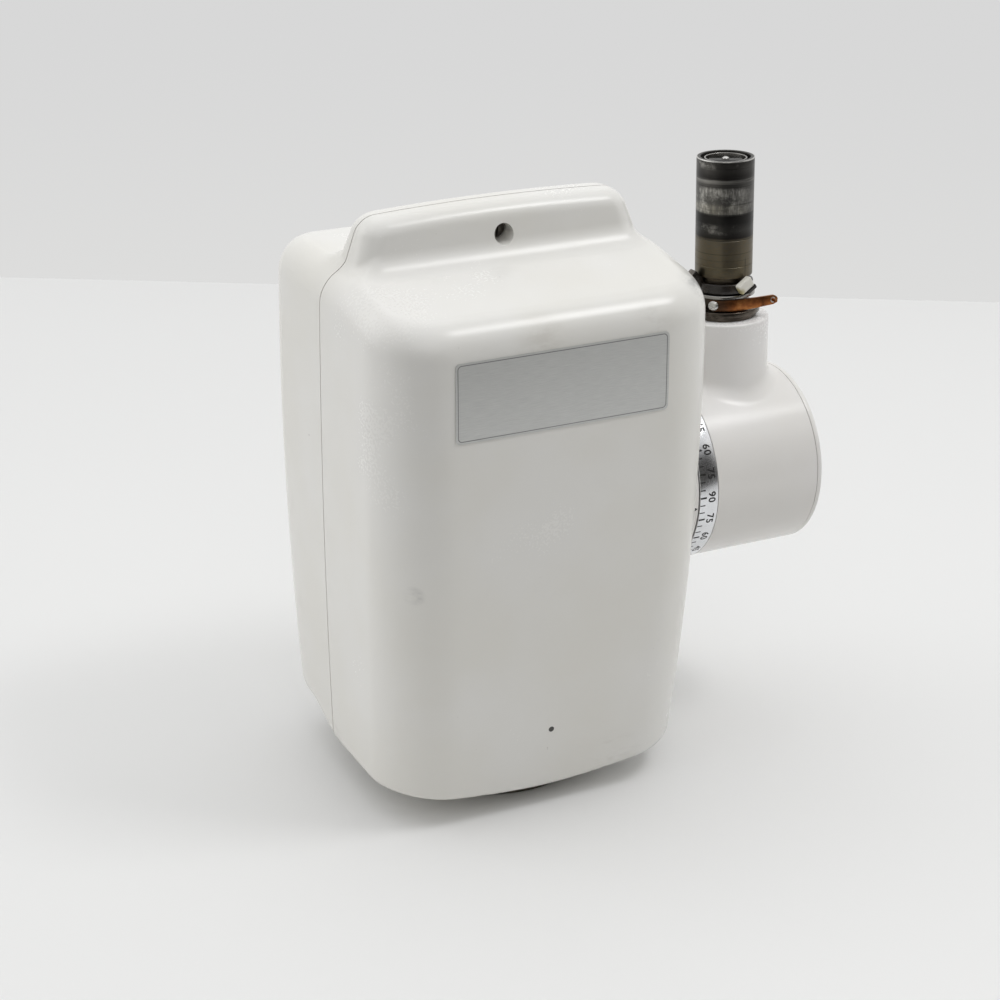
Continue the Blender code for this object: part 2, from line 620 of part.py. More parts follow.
LID_TOP = LID_BASE + LID_THICK
lid_corners = [(x, y) for x in (TANK_LEFT, TANK_RIGHT)
               for y in (TANK_FRONT - RIM_WIDTH / 2, TANK_REAR + RIM_WIDTH / 2)]
for index, (x, y) in enumerate(lid_corners, start=1):
    hole = rod(f"lid_hole_{index}", LID_SCREW_RADIUS + GAP, (x, y, TANK_TOP - 10 * MM),
               (x, y, LID_TOP + 10 * MM), head, sides=12)
    for holed in (tank, gasket, lid):
        cut(holed, hole)
    turned(f"lid_screw_{index}", [
        (0, LID_TOP + GAP + 3 * MM), (3.5 * MM, LID_TOP + GAP + 3 * MM),
        (3.5 * MM, LID_TOP + GAP), (LID_SCREW_RADIUS, LID_TOP + GAP),
        (LID_SCREW_RADIUS, TANK_TOP - RIM_THICK), (0, TANK_TOP - RIM_THICK),
    ], head, BRIGHT, centre=(x, y, 0), steps=12)

# ---- Head: bellows under the lid, for the oil to expand into -----------------------------
BELLOWS_X = TANK_LEFT + 11.7 * MM
BELLOWS_RADIUS = 8.4 * MM
BELLOWS_TOP = LID_BASE - GAP
folds = [(BELLOWS_RADIUS, BELLOWS_TOP)]
for fold in range(4):
    folds.append((BELLOWS_RADIUS - 3 * MM, BELLOWS_TOP - (6 * fold + 4) * MM))
    folds.append((BELLOWS_RADIUS, BELLOWS_TOP - (6 * fold + 7) * MM))
BELLOWS_BASE = folds[-1][1] - 2 * MM
SKIN = 1.4 * MM
inner_folds = [(radius - SKIN, height) for radius, height in reversed(folds[1:])]
turned("expansion_bellows",
       folds + [(0, BELLOWS_BASE), (0, BELLOWS_BASE + SKIN)] + inner_folds
       + [(BELLOWS_RADIUS - SKIN, BELLOWS_TOP)],
       head, RUBBER, centre=(BELLOWS_X, PORT_Y, 0), steps=12)
cut(lid, rod("bellows_vent", 3 * MM, (BELLOWS_X, PORT_Y, LID_BASE - OVERSHOOT),
             (BELLOWS_X, PORT_Y, LID_TOP + OVERSHOOT), head, sides=12))

# ---- Head: X-ray tube in its lead shield -------------------------------------------------
TUBE = (0, PORT_Y, TUBE_Z)
half_tube = TUBE_LENGTH / 2
bulb = TUBE_RADIUS - GLASS
turned("tube_envelope", [
    (TUBE_NECK + GLASS, half_tube), (TUBE_NECK + GLASS, half_tube - 10 * MM),
    (TUBE_RADIUS, half_tube - 18 * MM), (TUBE_RADIUS, -half_tube + 18 * MM),
    (TUBE_NECK + GLASS, -half_tube + 10 * MM), (TUBE_NECK + GLASS, -half_tube),
    (TUBE_NECK, -half_tube), (TUBE_NECK, -half_tube + 10 * MM),
    (bulb, -half_tube + 19 * MM), (bulb, half_tube - 19 * MM),
    (TUBE_NECK, half_tube - 10 * MM), (TUBE_NECK, half_tube),
], head, GLASSY, "X", TUBE, steps=16)
anode = turned("anode", [
    (0, half_tube + 3 * MM), (TUBE_NECK - GAP, half_tube + 3 * MM),
    (TUBE_NECK - GAP, half_tube - 16 * MM), (11 * MM, half_tube - 20 * MM),
    (11 * MM, 0), (0, 0),
], head, COPPER, "X", TUBE, steps=24)
bevel_face = box("target_bevel", (-20 * MM, -20 * MM, -40 * MM), (20 * MM, 20 * MM, 0), head)
bevel_face.location = Vector(TUBE) + Vector((5 * MM, 0, 0))
bevel_face.rotation_euler.y = math.radians(90 - 20)
cut(anode, bevel_face)
turned("cathode_cup", [
    (0, -10 * MM), (3 * MM, -10 * MM), (3 * MM, -8 * MM), (8 * MM, -8 * MM),
    (9 * MM, -12 * MM), (9 * MM, -18 * MM), (TUBE_NECK - GAP, -half_tube + 14 * MM),
    (TUBE_NECK - GAP, -half_tube - 3 * MM), (0, -half_tube - 3 * MM),
], head, BRIGHT, "X", TUBE, steps=24)
shield = ring("lead_shield", TUBE_RADIUS + GAP + SHIELD_THICK, TUBE_RADIUS + GAP,
              SHIELD_LENGTH / 2, -SHIELD_LENGTH / 2, head, LEAD, "X", TUBE, steps=28)
shield_stance = WINDOW_RADIUS + 3.5 * MM
for foot_x in (-shield_stance, shield_stance):
    join(shield, box("shield_foot",
                     (foot_x - 3 * MM, PORT_Y - 5 * MM, TANK_BASE + TANK_WALL + GAP),
                     (foot_x + 3 * MM, PORT_Y + 5 * MM,
                      TUBE_Z - TUBE_RADIUS - GAP - SHIELD_THICK / 2), head))
cut(shield,
    box("shield_mouth", (-half_tube, PORT_Y - 30 * MM, TUBE_Z + 6 * MM),
        (half_tube, PORT_Y + 30 * MM, TUBE_Z + 40 * MM), head),
    rod("shield_port", APERTURE_RADIUS + 2 * MM, (0, PORT_Y, TUBE_Z - 30 * MM),
        (0, PORT_Y, TUBE_Z - 4 * MM), head, sides=20))

# ---- Head: high-voltage transformer ------------------------------------------------------
CORE_TOP = CORE_BASE + CORE_HEIGHT
core_front, core_rear = PORT_Y - CORE_DEPTH / 2, PORT_Y + CORE_DEPTH / 2
core = box("transformer_core", (-CORE_WIDTH / 2, core_front, CORE_BASE),
           (CORE_WIDTH / 2, core_rear, CORE_TOP), head, IRON)
for name, low, high in (("left", -CORE_WIDTH / 2 + CORE_LEG, -CORE_LEG),
                        ("right", CORE_LEG, CORE_WIDTH / 2 - CORE_LEG)):
    cut(core, box(f"core_window_{name}", (low, core_front - OVERSHOOT, CORE_BASE + CORE_LEG),
                  (high, core_rear + OVERSHOOT, CORE_TOP - CORE_LEG), head))
for post_x in (-CORE_WIDTH / 2, CORE_WIDTH / 2 - CORE_LEG / 2):
    join(core, box("core_hanger", (post_x, PORT_Y - 5 * MM, CORE_TOP - CORE_LEG / 2),
                   (post_x + CORE_LEG / 2, PORT_Y + 5 * MM, LID_BASE - GAP), head))


def winding(name, build, low, high, look):
    """A square coil round the core's middle leg."""
    reach = CORE_LEG + build
    coil = box(name, (-reach, core_front - build, low), (reach, core_rear + build, high), head,
               look, edge=2 * MM)
    eye = box(name + "_eye", (-CORE_LEG - GAP, core_front - GAP, low - OVERSHOOT),
              (CORE_LEG + GAP, core_rear + GAP, high + OVERSHOOT), head)
    return cut(coil, eye)


COIL_SPLIT = CORE_BASE + CORE_HEIGHT * 0.58
winding("secondary_winding", 15 * MM, CORE_BASE + CORE_LEG + GAP, COIL_SPLIT, COPPER)
winding("primary_winding", 12 * MM, COIL_SPLIT + GAP, CORE_TOP - CORE_LEG - GAP, COPPER)
heater_front = PORT_Y + TUBE_RADIUS + GAP + SHIELD_THICK + 5.7 * MM
box("filament_transformer", (-half_tube, heater_front, TUBE_Z - 10 * MM),
    (-half_tube + 18 * MM, TANK_REAR - TANK_WALL - GAP, TUBE_Z + 14 * MM), head, IRON,
    edge=1.5 * MM)

# ---- Head: terminals and the first stretch of the cable ----------------------------------
TERMINAL = Vector((TANK_RIGHT - 14 * MM, 0, LID_TOP + GAP))
terminal = box("terminal_block", TERMINAL - Vector((12 * MM, 9 * MM, 0)),
               TERMINAL + Vector((12 * MM, 9 * MM, 11 * MM)), head, BLACK, edge=0.8 * MM)
for step in (-1, 0, 1):
    cut(terminal, rod(f"terminal_well_{step}", 2.2 * MM,
                      TERMINAL + Vector((7 * step * MM, 0, 6 * MM)),
                      TERMINAL + Vector((7 * step * MM, 0, 14 * MM)), head, sides=10))


def cable(name, route, carrier, points):
    """A round cable through the route's points, on one smooth curve."""
    data = bpy.data.curves.new(name, "CURVE")
    data.dimensions = "3D"
    data.bevel_depth = CABLE_RADIUS
    data.bevel_resolution = 2
    data.use_fill_caps = True
    spline = data.splines.new("POLY")
    spline.points.add(points)
    spans = len(route) - 1
    for index in range(points + 1):
        place_on = index / points * spans
        span = min(int(place_on), spans - 1)
        spot = catmull(route, span, place_on - span)
        spline.points[index].co = (*spot, 1)
    made = bpy.data.objects.new(name, data)
    made.parent = carrier
    data.materials.append(RUBBER)
    parts.objects.link(made)
    return made


def catmull(route, span, t):
    """A point on the smooth curve through the route, in the given span."""
    ends = [2 * Vector(route[0]) - Vector(route[1])] + [Vector(p) for p in route]
    ends.append(2 * ends[-1] - ends[-2])
    a, b, c, d = ends[span:span + 4]
    return 0.5 * (2 * b + (c - a) * t + (2 * a - 5 * b + 4 * c - d) * t**2
                  + (3 * b - a - 3 * c + d) * t**3)


CUP_X = TANK_RIGHT + 4.5 * MM
cable("head_harness", [
    (CUP_X, 0, AXIS_Z + 3 * MM), (CUP_X, 0, AXIS_Z + 18 * MM), (CUP_X + 1 * MM, 0, AXIS_Z + 40 * MM),
    (TANK_RIGHT + RIM_WIDTH + CABLE_RADIUS + 2 * MM, 0, TANK_TOP - 10 * MM),
    (TANK_RIGHT + RIM_WIDTH + CABLE_RADIUS + 1.5 * MM, 0, LID_TOP),
    (TERMINAL.x + 18 * MM, 0, LID_TOP + 6 * MM),
    (TERMINAL.x + 12.6 * MM, 0, LID_TOP + 6 * MM),
], head, 22)

# ---- Head: swivel flange, its screws and the shaft's bushes ------------------------------
AXIS = (0, 0, AXIS_Z)
flange = turned("swivel_flange", [
    (ELBOW_RADIUS - 0.8 * MM, FLANGE_FACE), (ELBOW_RADIUS, FLANGE_FACE - 0.8 * MM),
    (ELBOW_RADIUS, FLANGE_CUP + 1 * MM),
    (CUP_RADIUS, FLANGE_CUP + 1 * MM), (CUP_RADIUS, TANK_RIGHT + GAP),
    (CUP_BORE, TANK_RIGHT + GAP), (CUP_BORE, FLANGE_CUP),
    (SHAFT_RADIUS + BUSH_WALL + GAP, FLANGE_CUP), (SHAFT_RADIUS + BUSH_WALL + GAP, FLANGE_FACE),
], head, PAINT, "X", AXIS, steps=36)
cut(flange, rod("cable_notch", CABLE_RADIUS + 1.2 * MM, (CUP_X, 0, AXIS_Z + CUP_BORE - 4 * MM),
                (CUP_X, 0, AXIS_Z + CUP_RADIUS + 4 * MM), head, sides=16))

groove = ring("stop_groove", STOP_CIRCLE + STOP_PIN_RADIUS + 0.8 * MM,
              STOP_CIRCLE - STOP_PIN_RADIUS - 0.8 * MM, FLANGE_FACE - STOP_GROOVE,
              FLANGE_FACE + OVERSHOOT, head, None, "X", AXIS, steps=24)
pin_half_angle = math.degrees(math.asin(STOP_PIN_RADIUS / STOP_CIRCLE)) + 1.0
land_start = TILT_RANGE[1] + REST_TILT + pin_half_angle
land_end = 360 + TILT_RANGE[0] + REST_TILT - pin_half_angle
land = [(0.0, 0.0)]
for step in range(5):
    angle = math.radians(90 + land_start + (land_end - land_start) * step / 4)
    land.append((60 * MM * math.cos(angle), 60 * MM * math.sin(angle)))
stop_land = prism("stop_land", land, 30 * MM, FACING_SIDE, head)
stop_land.location = (FLANGE_FACE, 0, AXIS_Z)
cut(groove, stop_land)
cut(flange, groove)

for index, (y, z) in enumerate(around(3, FLANGE_SCREW_CIRCLE, 30), start=1):
    bolt = (0, y, AXIS_Z + z)
    turned(f"flange_screw_{index}", [
        (0, FLANGE_FACE - 1 * MM), (3.2 * MM, FLANGE_FACE - 1 * MM),
        (3.2 * MM, FLANGE_FACE - 4 * MM), (2 * MM, FLANGE_FACE - 4 * MM),
        (2 * MM, TANK_RIGHT - PAD), (0, TANK_RIGHT - PAD),
    ], head, BRIGHT, "X", bolt, steps=12)
    step_hole = turned(f"flange_hole_{index}", [
        (0, FLANGE_FACE + OVERSHOOT), (3.2 * MM + GAP, FLANGE_FACE + OVERSHOOT),
        (3.2 * MM + GAP, FLANGE_FACE - 4 * MM - GAP), (2 * MM + GAP, FLANGE_FACE - 4 * MM - GAP),
        (2 * MM + GAP, TANK_RIGHT - PAD - 1 * MM), (0, TANK_RIGHT - PAD - 1 * MM),
    ], head, None, "X", bolt, steps=12)
    cut(flange, step_hole)
    cut(tank, step_hole)

bush_outer = SHAFT_RADIUS + BUSH_WALL
for name, low, high in (("shaft_bush_inner", FLANGE_CUP + GAP, FLANGE_CUP + 6 * MM),
                        ("shaft_bush_outer", FLANGE_CUP + 7 * MM, FLANGE_FACE)):
    ring(name, bush_outer, SHAFT_RADIUS + RUNNING, high, low, head, BRONZE, "X", AXIS, steps=28)

# ---- Elbow: shaft, springs, nut, friction disc and stop pin ------------------------------
turned("swivel_shaft", [
    (22 * MM, WEB_END + GAP + 4 * MM), (22 * MM, WEB_END + GAP),
    (SHAFT_RADIUS, WEB_END + GAP), (SHAFT_RADIUS, FLANGE_CUP - 2 * MM),
    (SHAFT_RADIUS - 1.2 * MM, FLANGE_CUP - 2 * MM), (SHAFT_RADIUS - 1.2 * MM, SHAFT_END),
    (SHAFT_BORE, SHAFT_END), (SHAFT_BORE, WEB_END + GAP + 4 * MM),
], elbow, BRIGHT, "X")
THREAD = SHAFT_RADIUS - 1.2 * MM + GAP
ring("thrust_washer", 24 * MM, SHAFT_RADIUS + GAP, FLANGE_CUP - GAP, FLANGE_CUP - 1.8 * MM,
     elbow, BRONZE, "X")
spring_high = FLANGE_CUP - 2.1 * MM
turned("disc_spring", [
    (16 * MM, spring_high), (22 * MM, spring_high - 1.6 * MM),
    (22 * MM, spring_high - 2.8 * MM), (THREAD, spring_high - 1.2 * MM), (THREAD, spring_high),
], elbow, BRIGHT, "X")
nut_high = spring_high - 2.8 * MM - GAP
nut = rod("shaft_nut", 20 * MM, (SHAFT_END + 0.5 * MM, 0, 0), (nut_high, 0, 0), elbow, BRIGHT,
          sides=6)
cut(nut, rod("nut_thread", THREAD, (SHAFT_END - 3 * MM, 0, 0), (FLANGE_CUP, 0, 0), elbow,
             sides=24))
DISC_END = FLANGE_FACE + GAP + 1.6 * MM
friction_disc = ring("friction_disc", 34 * MM, SHAFT_RADIUS + 2 * MM, DISC_END,
                     FLANGE_FACE + GAP, elbow, BLACK, "X")
pin_low = FLANGE_FACE - STOP_GROOVE + 0.5 * MM
rod("stop_pin", STOP_PIN_RADIUS, (pin_low, 0, STOP_CIRCLE), (WEB_END - 1 * MM, 0, STOP_CIRCLE),
    elbow, BRIGHT, sides=16)
pin_hole = rod("pin_hole", STOP_PIN_RADIUS + GAP, (pin_low - OVERSHOOT, 0, STOP_CIRCLE),
               (WEB_END + OVERSHOOT, 0, STOP_CIRCLE), elbow, sides=16)
cut(friction_disc, pin_hole)

# ---- Elbow: housing, dial and cap --------------------------------------------------------
ELBOW_START = DISC_END + GAP
dial_bore = ELBOW_RADIUS - DIAL_WALL
cavity = ELBOW_RADIUS - ELBOW_WALL
housing = turned("elbow_housing", [
    (0, ELBOW_END), (ELBOW_RADIUS - 0.4 * MM, ELBOW_END), (ELBOW_RADIUS, ELBOW_END - 0.4 * MM),
    (ELBOW_RADIUS, DIAL_END + GAP), (dial_bore - GAP, DIAL_END + GAP),
    (dial_bore - GAP, ELBOW_START), (0, ELBOW_START),
], elbow, PAINT, "X", steps=40)
neck = turned("neck", [
    (0, NECK_TOP), (NECK_RADIUS - 1 * MM, NECK_TOP), (NECK_RADIUS, NECK_TOP - 1 * MM),
    (NECK_RADIUS, cavity - 12 * MM), (0, cavity - 12 * MM),
], elbow, None, centre=(NECK_X, 0, 0), steps=36)
join(housing, neck)
cut(housing,
    rod("elbow_cavity", cavity, (WEB_END, 0, 0), (ELBOW_END + OVERSHOOT, 0, 0), elbow,
        sides=40),
    rod("shaft_hole", SHAFT_RADIUS + GAP, (ELBOW_START - OVERSHOOT, 0, 0),
        (WEB_END + OVERSHOOT, 0, 0), elbow, sides=32),
    rod("neck_bore", NECK_BORE, (NECK_X, 0, cavity - 14 * MM),
        (NECK_X, 0, NECK_TOP + OVERSHOOT), elbow, sides=32),
    pin_hole)
ring("dial_ring", ELBOW_RADIUS, dial_bore, DIAL_END, DIAL_START, elbow, DIAL, "X", steps=40)
turned("elbow_cap", [
    (0, RIGHT_END), (ELBOW_RADIUS - 0.8 * MM, RIGHT_END),
    (ELBOW_RADIUS, RIGHT_END - 0.8 * MM), (ELBOW_RADIUS, ELBOW_END + GAP),
    (cavity - GAP, ELBOW_END + GAP), (cavity - GAP, ELBOW_END - CAP_LIP),
    (cavity - 2.5 * MM, ELBOW_END - CAP_LIP), (cavity - 2.5 * MM, ELBOW_END + GAP),
    (0, ELBOW_END + GAP),
], elbow, PAINT, "X", steps=40)
cable("elbow_harness", [
    (TANK_RIGHT + 7.8 * MM, 0, 0), (80 * MM, 0, 0), (98 * MM, 0, 0),
    (NECK_X - 5 * MM, 0, 6 * MM), (NECK_X, 0, 18 * MM), (NECK_X, 0, SHANK_END - GAP),
], elbow, 18)
for name, low, high in (("neck_bush_lower", SHANK_END + 4 * MM, SHANK_END + 12 * MM),
                        ("neck_bush_upper", NECK_TOP - 9 * MM, NECK_TOP)):
    ring(name, NECK_BORE - GAP, SHANK_RADIUS + RUNNING, high, low, elbow, BRONZE,
         centre=(NECK_X, 0, 0), steps=28)

# ---- Spigot and the washers, band and stop on its seat -----------------------------------
SEAT = NECK_TOP + GAP
turned("spigot_tube", [
    (SPIGOT_RADIUS - 0.4 * MM, SPIGOT_TOP), (SPIGOT_RADIUS, SPIGOT_TOP - 0.4 * MM),
    (SPIGOT_RADIUS, SPIGOT_SHOULDER + 0.6 * MM), (SPIGOT_RADIUS - 0.6 * MM, SPIGOT_SHOULDER),
    (SEAT_RADIUS, SPIGOT_SHOULDER), (SEAT_RADIUS, SEAT), (SHANK_RADIUS, SEAT),
    (SHANK_RADIUS, SHANK_END + 3.4 * MM), (SHANK_RADIUS - 1.2 * MM, SHANK_END + 3.4 * MM),
    (SHANK_RADIUS - 1.2 * MM, SHANK_END + 1.4 * MM), (SHANK_RADIUS, SHANK_END + 1.4 * MM),
    (SHANK_RADIUS, SHANK_END), (SHANK_BORE, SHANK_END), (SHANK_BORE, CONTACT_BASE - 8 * MM),
    (SPIGOT_RADIUS - SPIGOT_WALL, CONTACT_BASE - 2 * MM),
    (SPIGOT_RADIUS - SPIGOT_WALL, SPIGOT_TOP),
], spigot, STEEL, steps=28)
circlip_inner = SHANK_RADIUS - 1.2 * MM + 0.1 * MM
circlip = ring("spigot_circlip", SHANK_RADIUS + 2.6 * MM, circlip_inner, SHANK_END + 3.1 * MM,
               SHANK_END + 1.7 * MM, spigot, BRIGHT, steps=28)
cut(circlip, box("circlip_gap", (0, -2.5 * MM, SHANK_END), (20 * MM, 2.5 * MM, SHANK_END + 5 * MM),
                 spigot))
collar_bore = SEAT_RADIUS + GAP
BAND_LOW = SEAT + LOWER_WASHER + GAP
BAND_HIGH = BAND_LOW + BAND_HEIGHT
ring("lower_washer", LOWER_WASHER_RADIUS, collar_bore, SEAT + LOWER_WASHER, SEAT, spigot,
     STEEL)
ring("upper_washer", UPPER_WASHER_RADIUS, collar_bore, BAND_HIGH + GAP + UPPER_WASHER,
     BAND_HIGH + GAP, spigot, BRIGHT)

band = ring("brake_band", BAND_RADIUS, BAND_RADIUS - BAND_WALL, BAND_HIGH, BAND_LOW, spigot,
            BRONZE, steps=28)
band_middle = (BAND_LOW + BAND_HIGH) / 2
tail = box("band_tail", (0, -BAND_RADIUS, BAND_LOW + 0.3 * MM),
           (BAND_TAIL, -BAND_RADIUS + BAND_WALL, BAND_HIGH - 0.3 * MM), spigot)
join(band, tail)
SCREW_TURN = -138         # degrees: the band's screw faces forward and to the left
screw_out = Vector((math.cos(math.radians(SCREW_TURN)), math.sin(math.radians(SCREW_TURN)), 0))
band_height = Vector((0, 0, band_middle))
cut(band,
    rod("tail_eye", 0.9 * MM, (BAND_TAIL - 2 * MM, -BAND_RADIUS - 3 * MM, band_middle),
        (BAND_TAIL - 2 * MM, -BAND_RADIUS + 4 * MM, band_middle), spigot, sides=12),
    rod("band_hole", 1.2 * MM + GAP, band_height + screw_out * (SEAT_RADIUS - 1 * MM),
        band_height + screw_out * (BAND_RADIUS + 2 * MM), spigot, sides=12))
band_screw = rod("band_screw", 2.2 * MM, band_height + screw_out * (BAND_RADIUS + GAP),
                 band_height + screw_out * (BAND_RADIUS + 1.6 * MM), spigot, BRIGHT, sides=20)
join(band_screw, rod("band_screw_shank", 1.2 * MM,
                     band_height + screw_out * (SEAT_RADIUS + GAP),
                     band_height + screw_out * (BAND_RADIUS + 1 * MM), spigot, sides=12))

STOP_LOW = BAND_HIGH + GAP + UPPER_WASHER + GAP
STOP_HIGH = STOP_LOW + STOP_RING_HEIGHT
stop_ring = ring("stop_ring", STOP_RING_RADIUS, collar_bore, STOP_HIGH, STOP_LOW, spigot,
                 BLACK)
EAR_LENGTH = 8.2 * MM
EAR_WIDTH = 4.4 * MM
EAR_THICK = 2.4 * MM
EAR_LEAN = 52             # degrees up from level
BLOCK_TURN = -74          # degrees: the nylon block sits on the stop ring's front
BLOCK_WIDTH = 8.4 * MM
BLOCK_DEPTH = 3.2 * MM
BLOCK_HEIGHT = 5.2 * MM
LEDGE = 1.3 * MM          # the stop ring's shelf under the block


def round_spigot(made, turn):
    made.rotation_euler.z = math.radians(turn)
    return made


ear = box("stop_ear", (0, -EAR_WIDTH / 2, -EAR_THICK / 2),
          (EAR_LENGTH, EAR_WIDTH / 2, EAR_THICK / 2), spigot)
ear.location = (-STOP_RING_RADIUS + 0.8 * MM, 0, STOP_LOW + 1.4 * MM)
ear.rotation_euler.y = math.radians(180 + EAR_LEAN)
ledge = box("stop_ledge", (STOP_RING_RADIUS - 0.8 * MM, -BLOCK_WIDTH / 6, STOP_LOW),
            (STOP_RING_RADIUS + BLOCK_DEPTH, BLOCK_WIDTH / 2, STOP_LOW + LEDGE), spigot)
join(stop_ring, ear, round_spigot(ledge, BLOCK_TURN))
block = box("stop_block", (STOP_RING_RADIUS + GAP, -BLOCK_WIDTH / 2, STOP_LOW + LEDGE + GAP),
            (STOP_RING_RADIUS + GAP + BLOCK_DEPTH, BLOCK_WIDTH / 2,
             STOP_LOW + LEDGE + GAP + BLOCK_HEIGHT), spigot, NYLON, edge=0.4 * MM)
round_spigot(block, BLOCK_TURN)

# ---- Spigot: coaxial contacts in its bore ------------------------------------------------
tube_bore = SPIGOT_RADIUS - SPIGOT_WALL
FACE = SPIGOT_TOP - CONTACT_DEPTH
sleeve_bore = SLEEVE_RADIUS - SLEEVE_WALL
ring("sleeve_insulator", tube_bore - GAP, SLEEVE_RADIUS + GAP, FACE - 4 * MM, CONTACT_BASE,
     spigot, BLACK)
ring("contact_sleeve", SLEEVE_RADIUS, sleeve_bore, SPIGOT_TOP - 0.5 * MM, CONTACT_BASE,
     spigot, BRIGHT)
pin_bore = PIN_COLLAR + GAP
turned("contact_insulator", [
    (sleeve_bore - GAP, FACE), (sleeve_bore - GAP, CONTACT_BASE), (0, CONTACT_BASE),
    (0, FACE - 16 * MM), (pin_bore, FACE - 16 * MM), (pin_bore, FACE),
], spigot, BLACK, steps=24)
BRIDGE_TOP = SPIGOT_TOP - 1.4 * MM
BRIDGE_HALF = 2.6 * MM
bridge_reach = math.sqrt((sleeve_bore - GAP) ** 2 - BRIDGE_HALF**2) - GAP
bridge = box("contact_bridge", (-bridge_reach, -BRIDGE_HALF, FACE + GAP),
             (bridge_reach, BRIDGE_HALF, BRIDGE_TOP), spigot, BLACK)
bridge.rotation_euler.z = math.radians(-30)
cut(bridge, rod("bridge_hole", PIN_RADIUS + RUNNING, (0, 0, FACE - OVERSHOOT),
                (0, 0, SPIGOT_TOP + OVERSHOOT), spigot, sides=16))
PIN_FOOT = FACE - 3 * MM
turned("contact_pin", [
    (0, SPIGOT_TOP - 0.2 * MM), (0.9 * MM, SPIGOT_TOP - 0.2 * MM),
    (PIN_RADIUS, SPIGOT_TOP - 0.8 * MM), (PIN_RADIUS, FACE - GAP), (PIN_COLLAR, FACE - GAP),
    (PIN_COLLAR, PIN_FOOT), (0, PIN_FOOT),
], spigot, BRIGHT, steps=16)
SPRING_BASE = FACE - 16 * MM + GAP
SPRING_TURNS = 4
spring = bpy.data.curves.new("contact_spring", "CURVE")
spring.dimensions = "3D"
spring.bevel_depth = 0.25 * MM
spring.bevel_resolution = 0
spring.use_fill_caps = True
coil = spring.splines.new("POLY")
coil.points.add(8 * SPRING_TURNS)
wire = spring.bevel_depth
for index, point in enumerate(coil.points):
    share = index / (8 * SPRING_TURNS)
    angle = 2 * math.pi * SPRING_TURNS * share
    height = SPRING_BASE + wire + (PIN_FOOT - GAP - SPRING_BASE - 2 * wire) * share
    point.co = (1.9 * MM * math.cos(angle), 1.9 * MM * math.sin(angle), height, 1)
spring.materials.append(BRIGHT)
coil_object = bpy.data.objects.new("contact_spring", spring)
coil_object.parent = spigot
parts.objects.link(coil_object)
rod("spigot_harness", CABLE_RADIUS, (0, 0, SHANK_END + GAP), (0, 0, CONTACT_BASE - GAP), spigot,
    RUBBER, sides=12)
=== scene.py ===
# %% [markdown]
# # A dental X-ray tube head, shaped and finished in Blender
#
# The real object is the head of a wall-hung dental X-ray set: two moulded shells round an oil
# tank, a black collar for the cone below, and at one side a swivel elbow with a graduated
# aluminium ring, from which a worn steel spigot stands up into the arm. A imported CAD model
# gives every piece its place and its joints. This notebook models each piece that shows again
# with fine curves, and gives each one a procedural finish.

import json
import math

import bpy
import numpy as np
from mathutils import Matrix, Vector


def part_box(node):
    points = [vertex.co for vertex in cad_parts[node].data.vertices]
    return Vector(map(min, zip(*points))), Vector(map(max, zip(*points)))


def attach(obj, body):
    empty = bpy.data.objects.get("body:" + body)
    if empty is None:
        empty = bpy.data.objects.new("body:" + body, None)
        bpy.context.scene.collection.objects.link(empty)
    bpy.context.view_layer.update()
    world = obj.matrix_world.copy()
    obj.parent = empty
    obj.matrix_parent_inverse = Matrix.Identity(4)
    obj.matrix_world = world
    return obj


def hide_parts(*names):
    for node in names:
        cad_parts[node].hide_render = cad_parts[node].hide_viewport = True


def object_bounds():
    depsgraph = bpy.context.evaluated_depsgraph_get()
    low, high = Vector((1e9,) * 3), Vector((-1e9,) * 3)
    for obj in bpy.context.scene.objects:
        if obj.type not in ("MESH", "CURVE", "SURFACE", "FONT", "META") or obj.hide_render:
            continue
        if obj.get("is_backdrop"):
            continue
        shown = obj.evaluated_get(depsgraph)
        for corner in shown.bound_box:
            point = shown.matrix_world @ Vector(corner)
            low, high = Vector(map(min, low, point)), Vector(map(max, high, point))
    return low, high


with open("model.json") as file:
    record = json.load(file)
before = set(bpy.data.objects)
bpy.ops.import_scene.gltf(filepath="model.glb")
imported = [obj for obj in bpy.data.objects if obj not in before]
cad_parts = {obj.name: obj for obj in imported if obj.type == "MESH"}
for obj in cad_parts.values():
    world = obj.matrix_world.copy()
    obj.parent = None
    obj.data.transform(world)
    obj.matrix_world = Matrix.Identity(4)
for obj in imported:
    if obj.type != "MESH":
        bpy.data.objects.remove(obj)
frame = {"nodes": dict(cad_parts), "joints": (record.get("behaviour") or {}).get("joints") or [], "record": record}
cad_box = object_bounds()
MM = 0.001

# %% [markdown]
# ## Where things are
#
# Every place comes from the CAD: the tilt hinge gives the elbow's axis and how far the spigot
# leans back, and the casing's box gives the middle of the head. Pieces of the head are modelled
# round the head's own origin, below the parting plane's middle. Pieces of the elbow and the
# spigot are modelled upright round the point where the two axes cross, and leaned afterwards,
# because a straight piece is easier to draw than a leaning one.

# %% The two working frames
joints = {joint["name"]: joint for joint in frame["joints"]}
hinge = Vector(joints["head_tilt"]["pos_m"])
shell_low, shell_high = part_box("front_shell")
HEAD = Matrix.Translation(((shell_low.x + shell_high.x) / 2, hinge.y, 0))
lean_y, lean_z = joints["spigot_swivel"]["axis"][1:]
LEAN = -math.atan2(lean_y, lean_z)
head_x = HEAD.translation.x
ELBOW = Matrix.Translation((head_x, hinge.y, hinge.z)) @ Matrix.Rotation(LEAN, 4, "X")
NECK_X = joints["spigot_swivel"]["pos_m"][0] - head_x
SPIGOT = ELBOW @ Matrix.Translation((NECK_X, 0, 0))
ALONG_X = Matrix.Rotation(math.pi / 2, 4, "Y")
print("lean", round(math.degrees(LEAN), 2), "degrees, neck at", round(NECK_X / MM, 1), "mm")

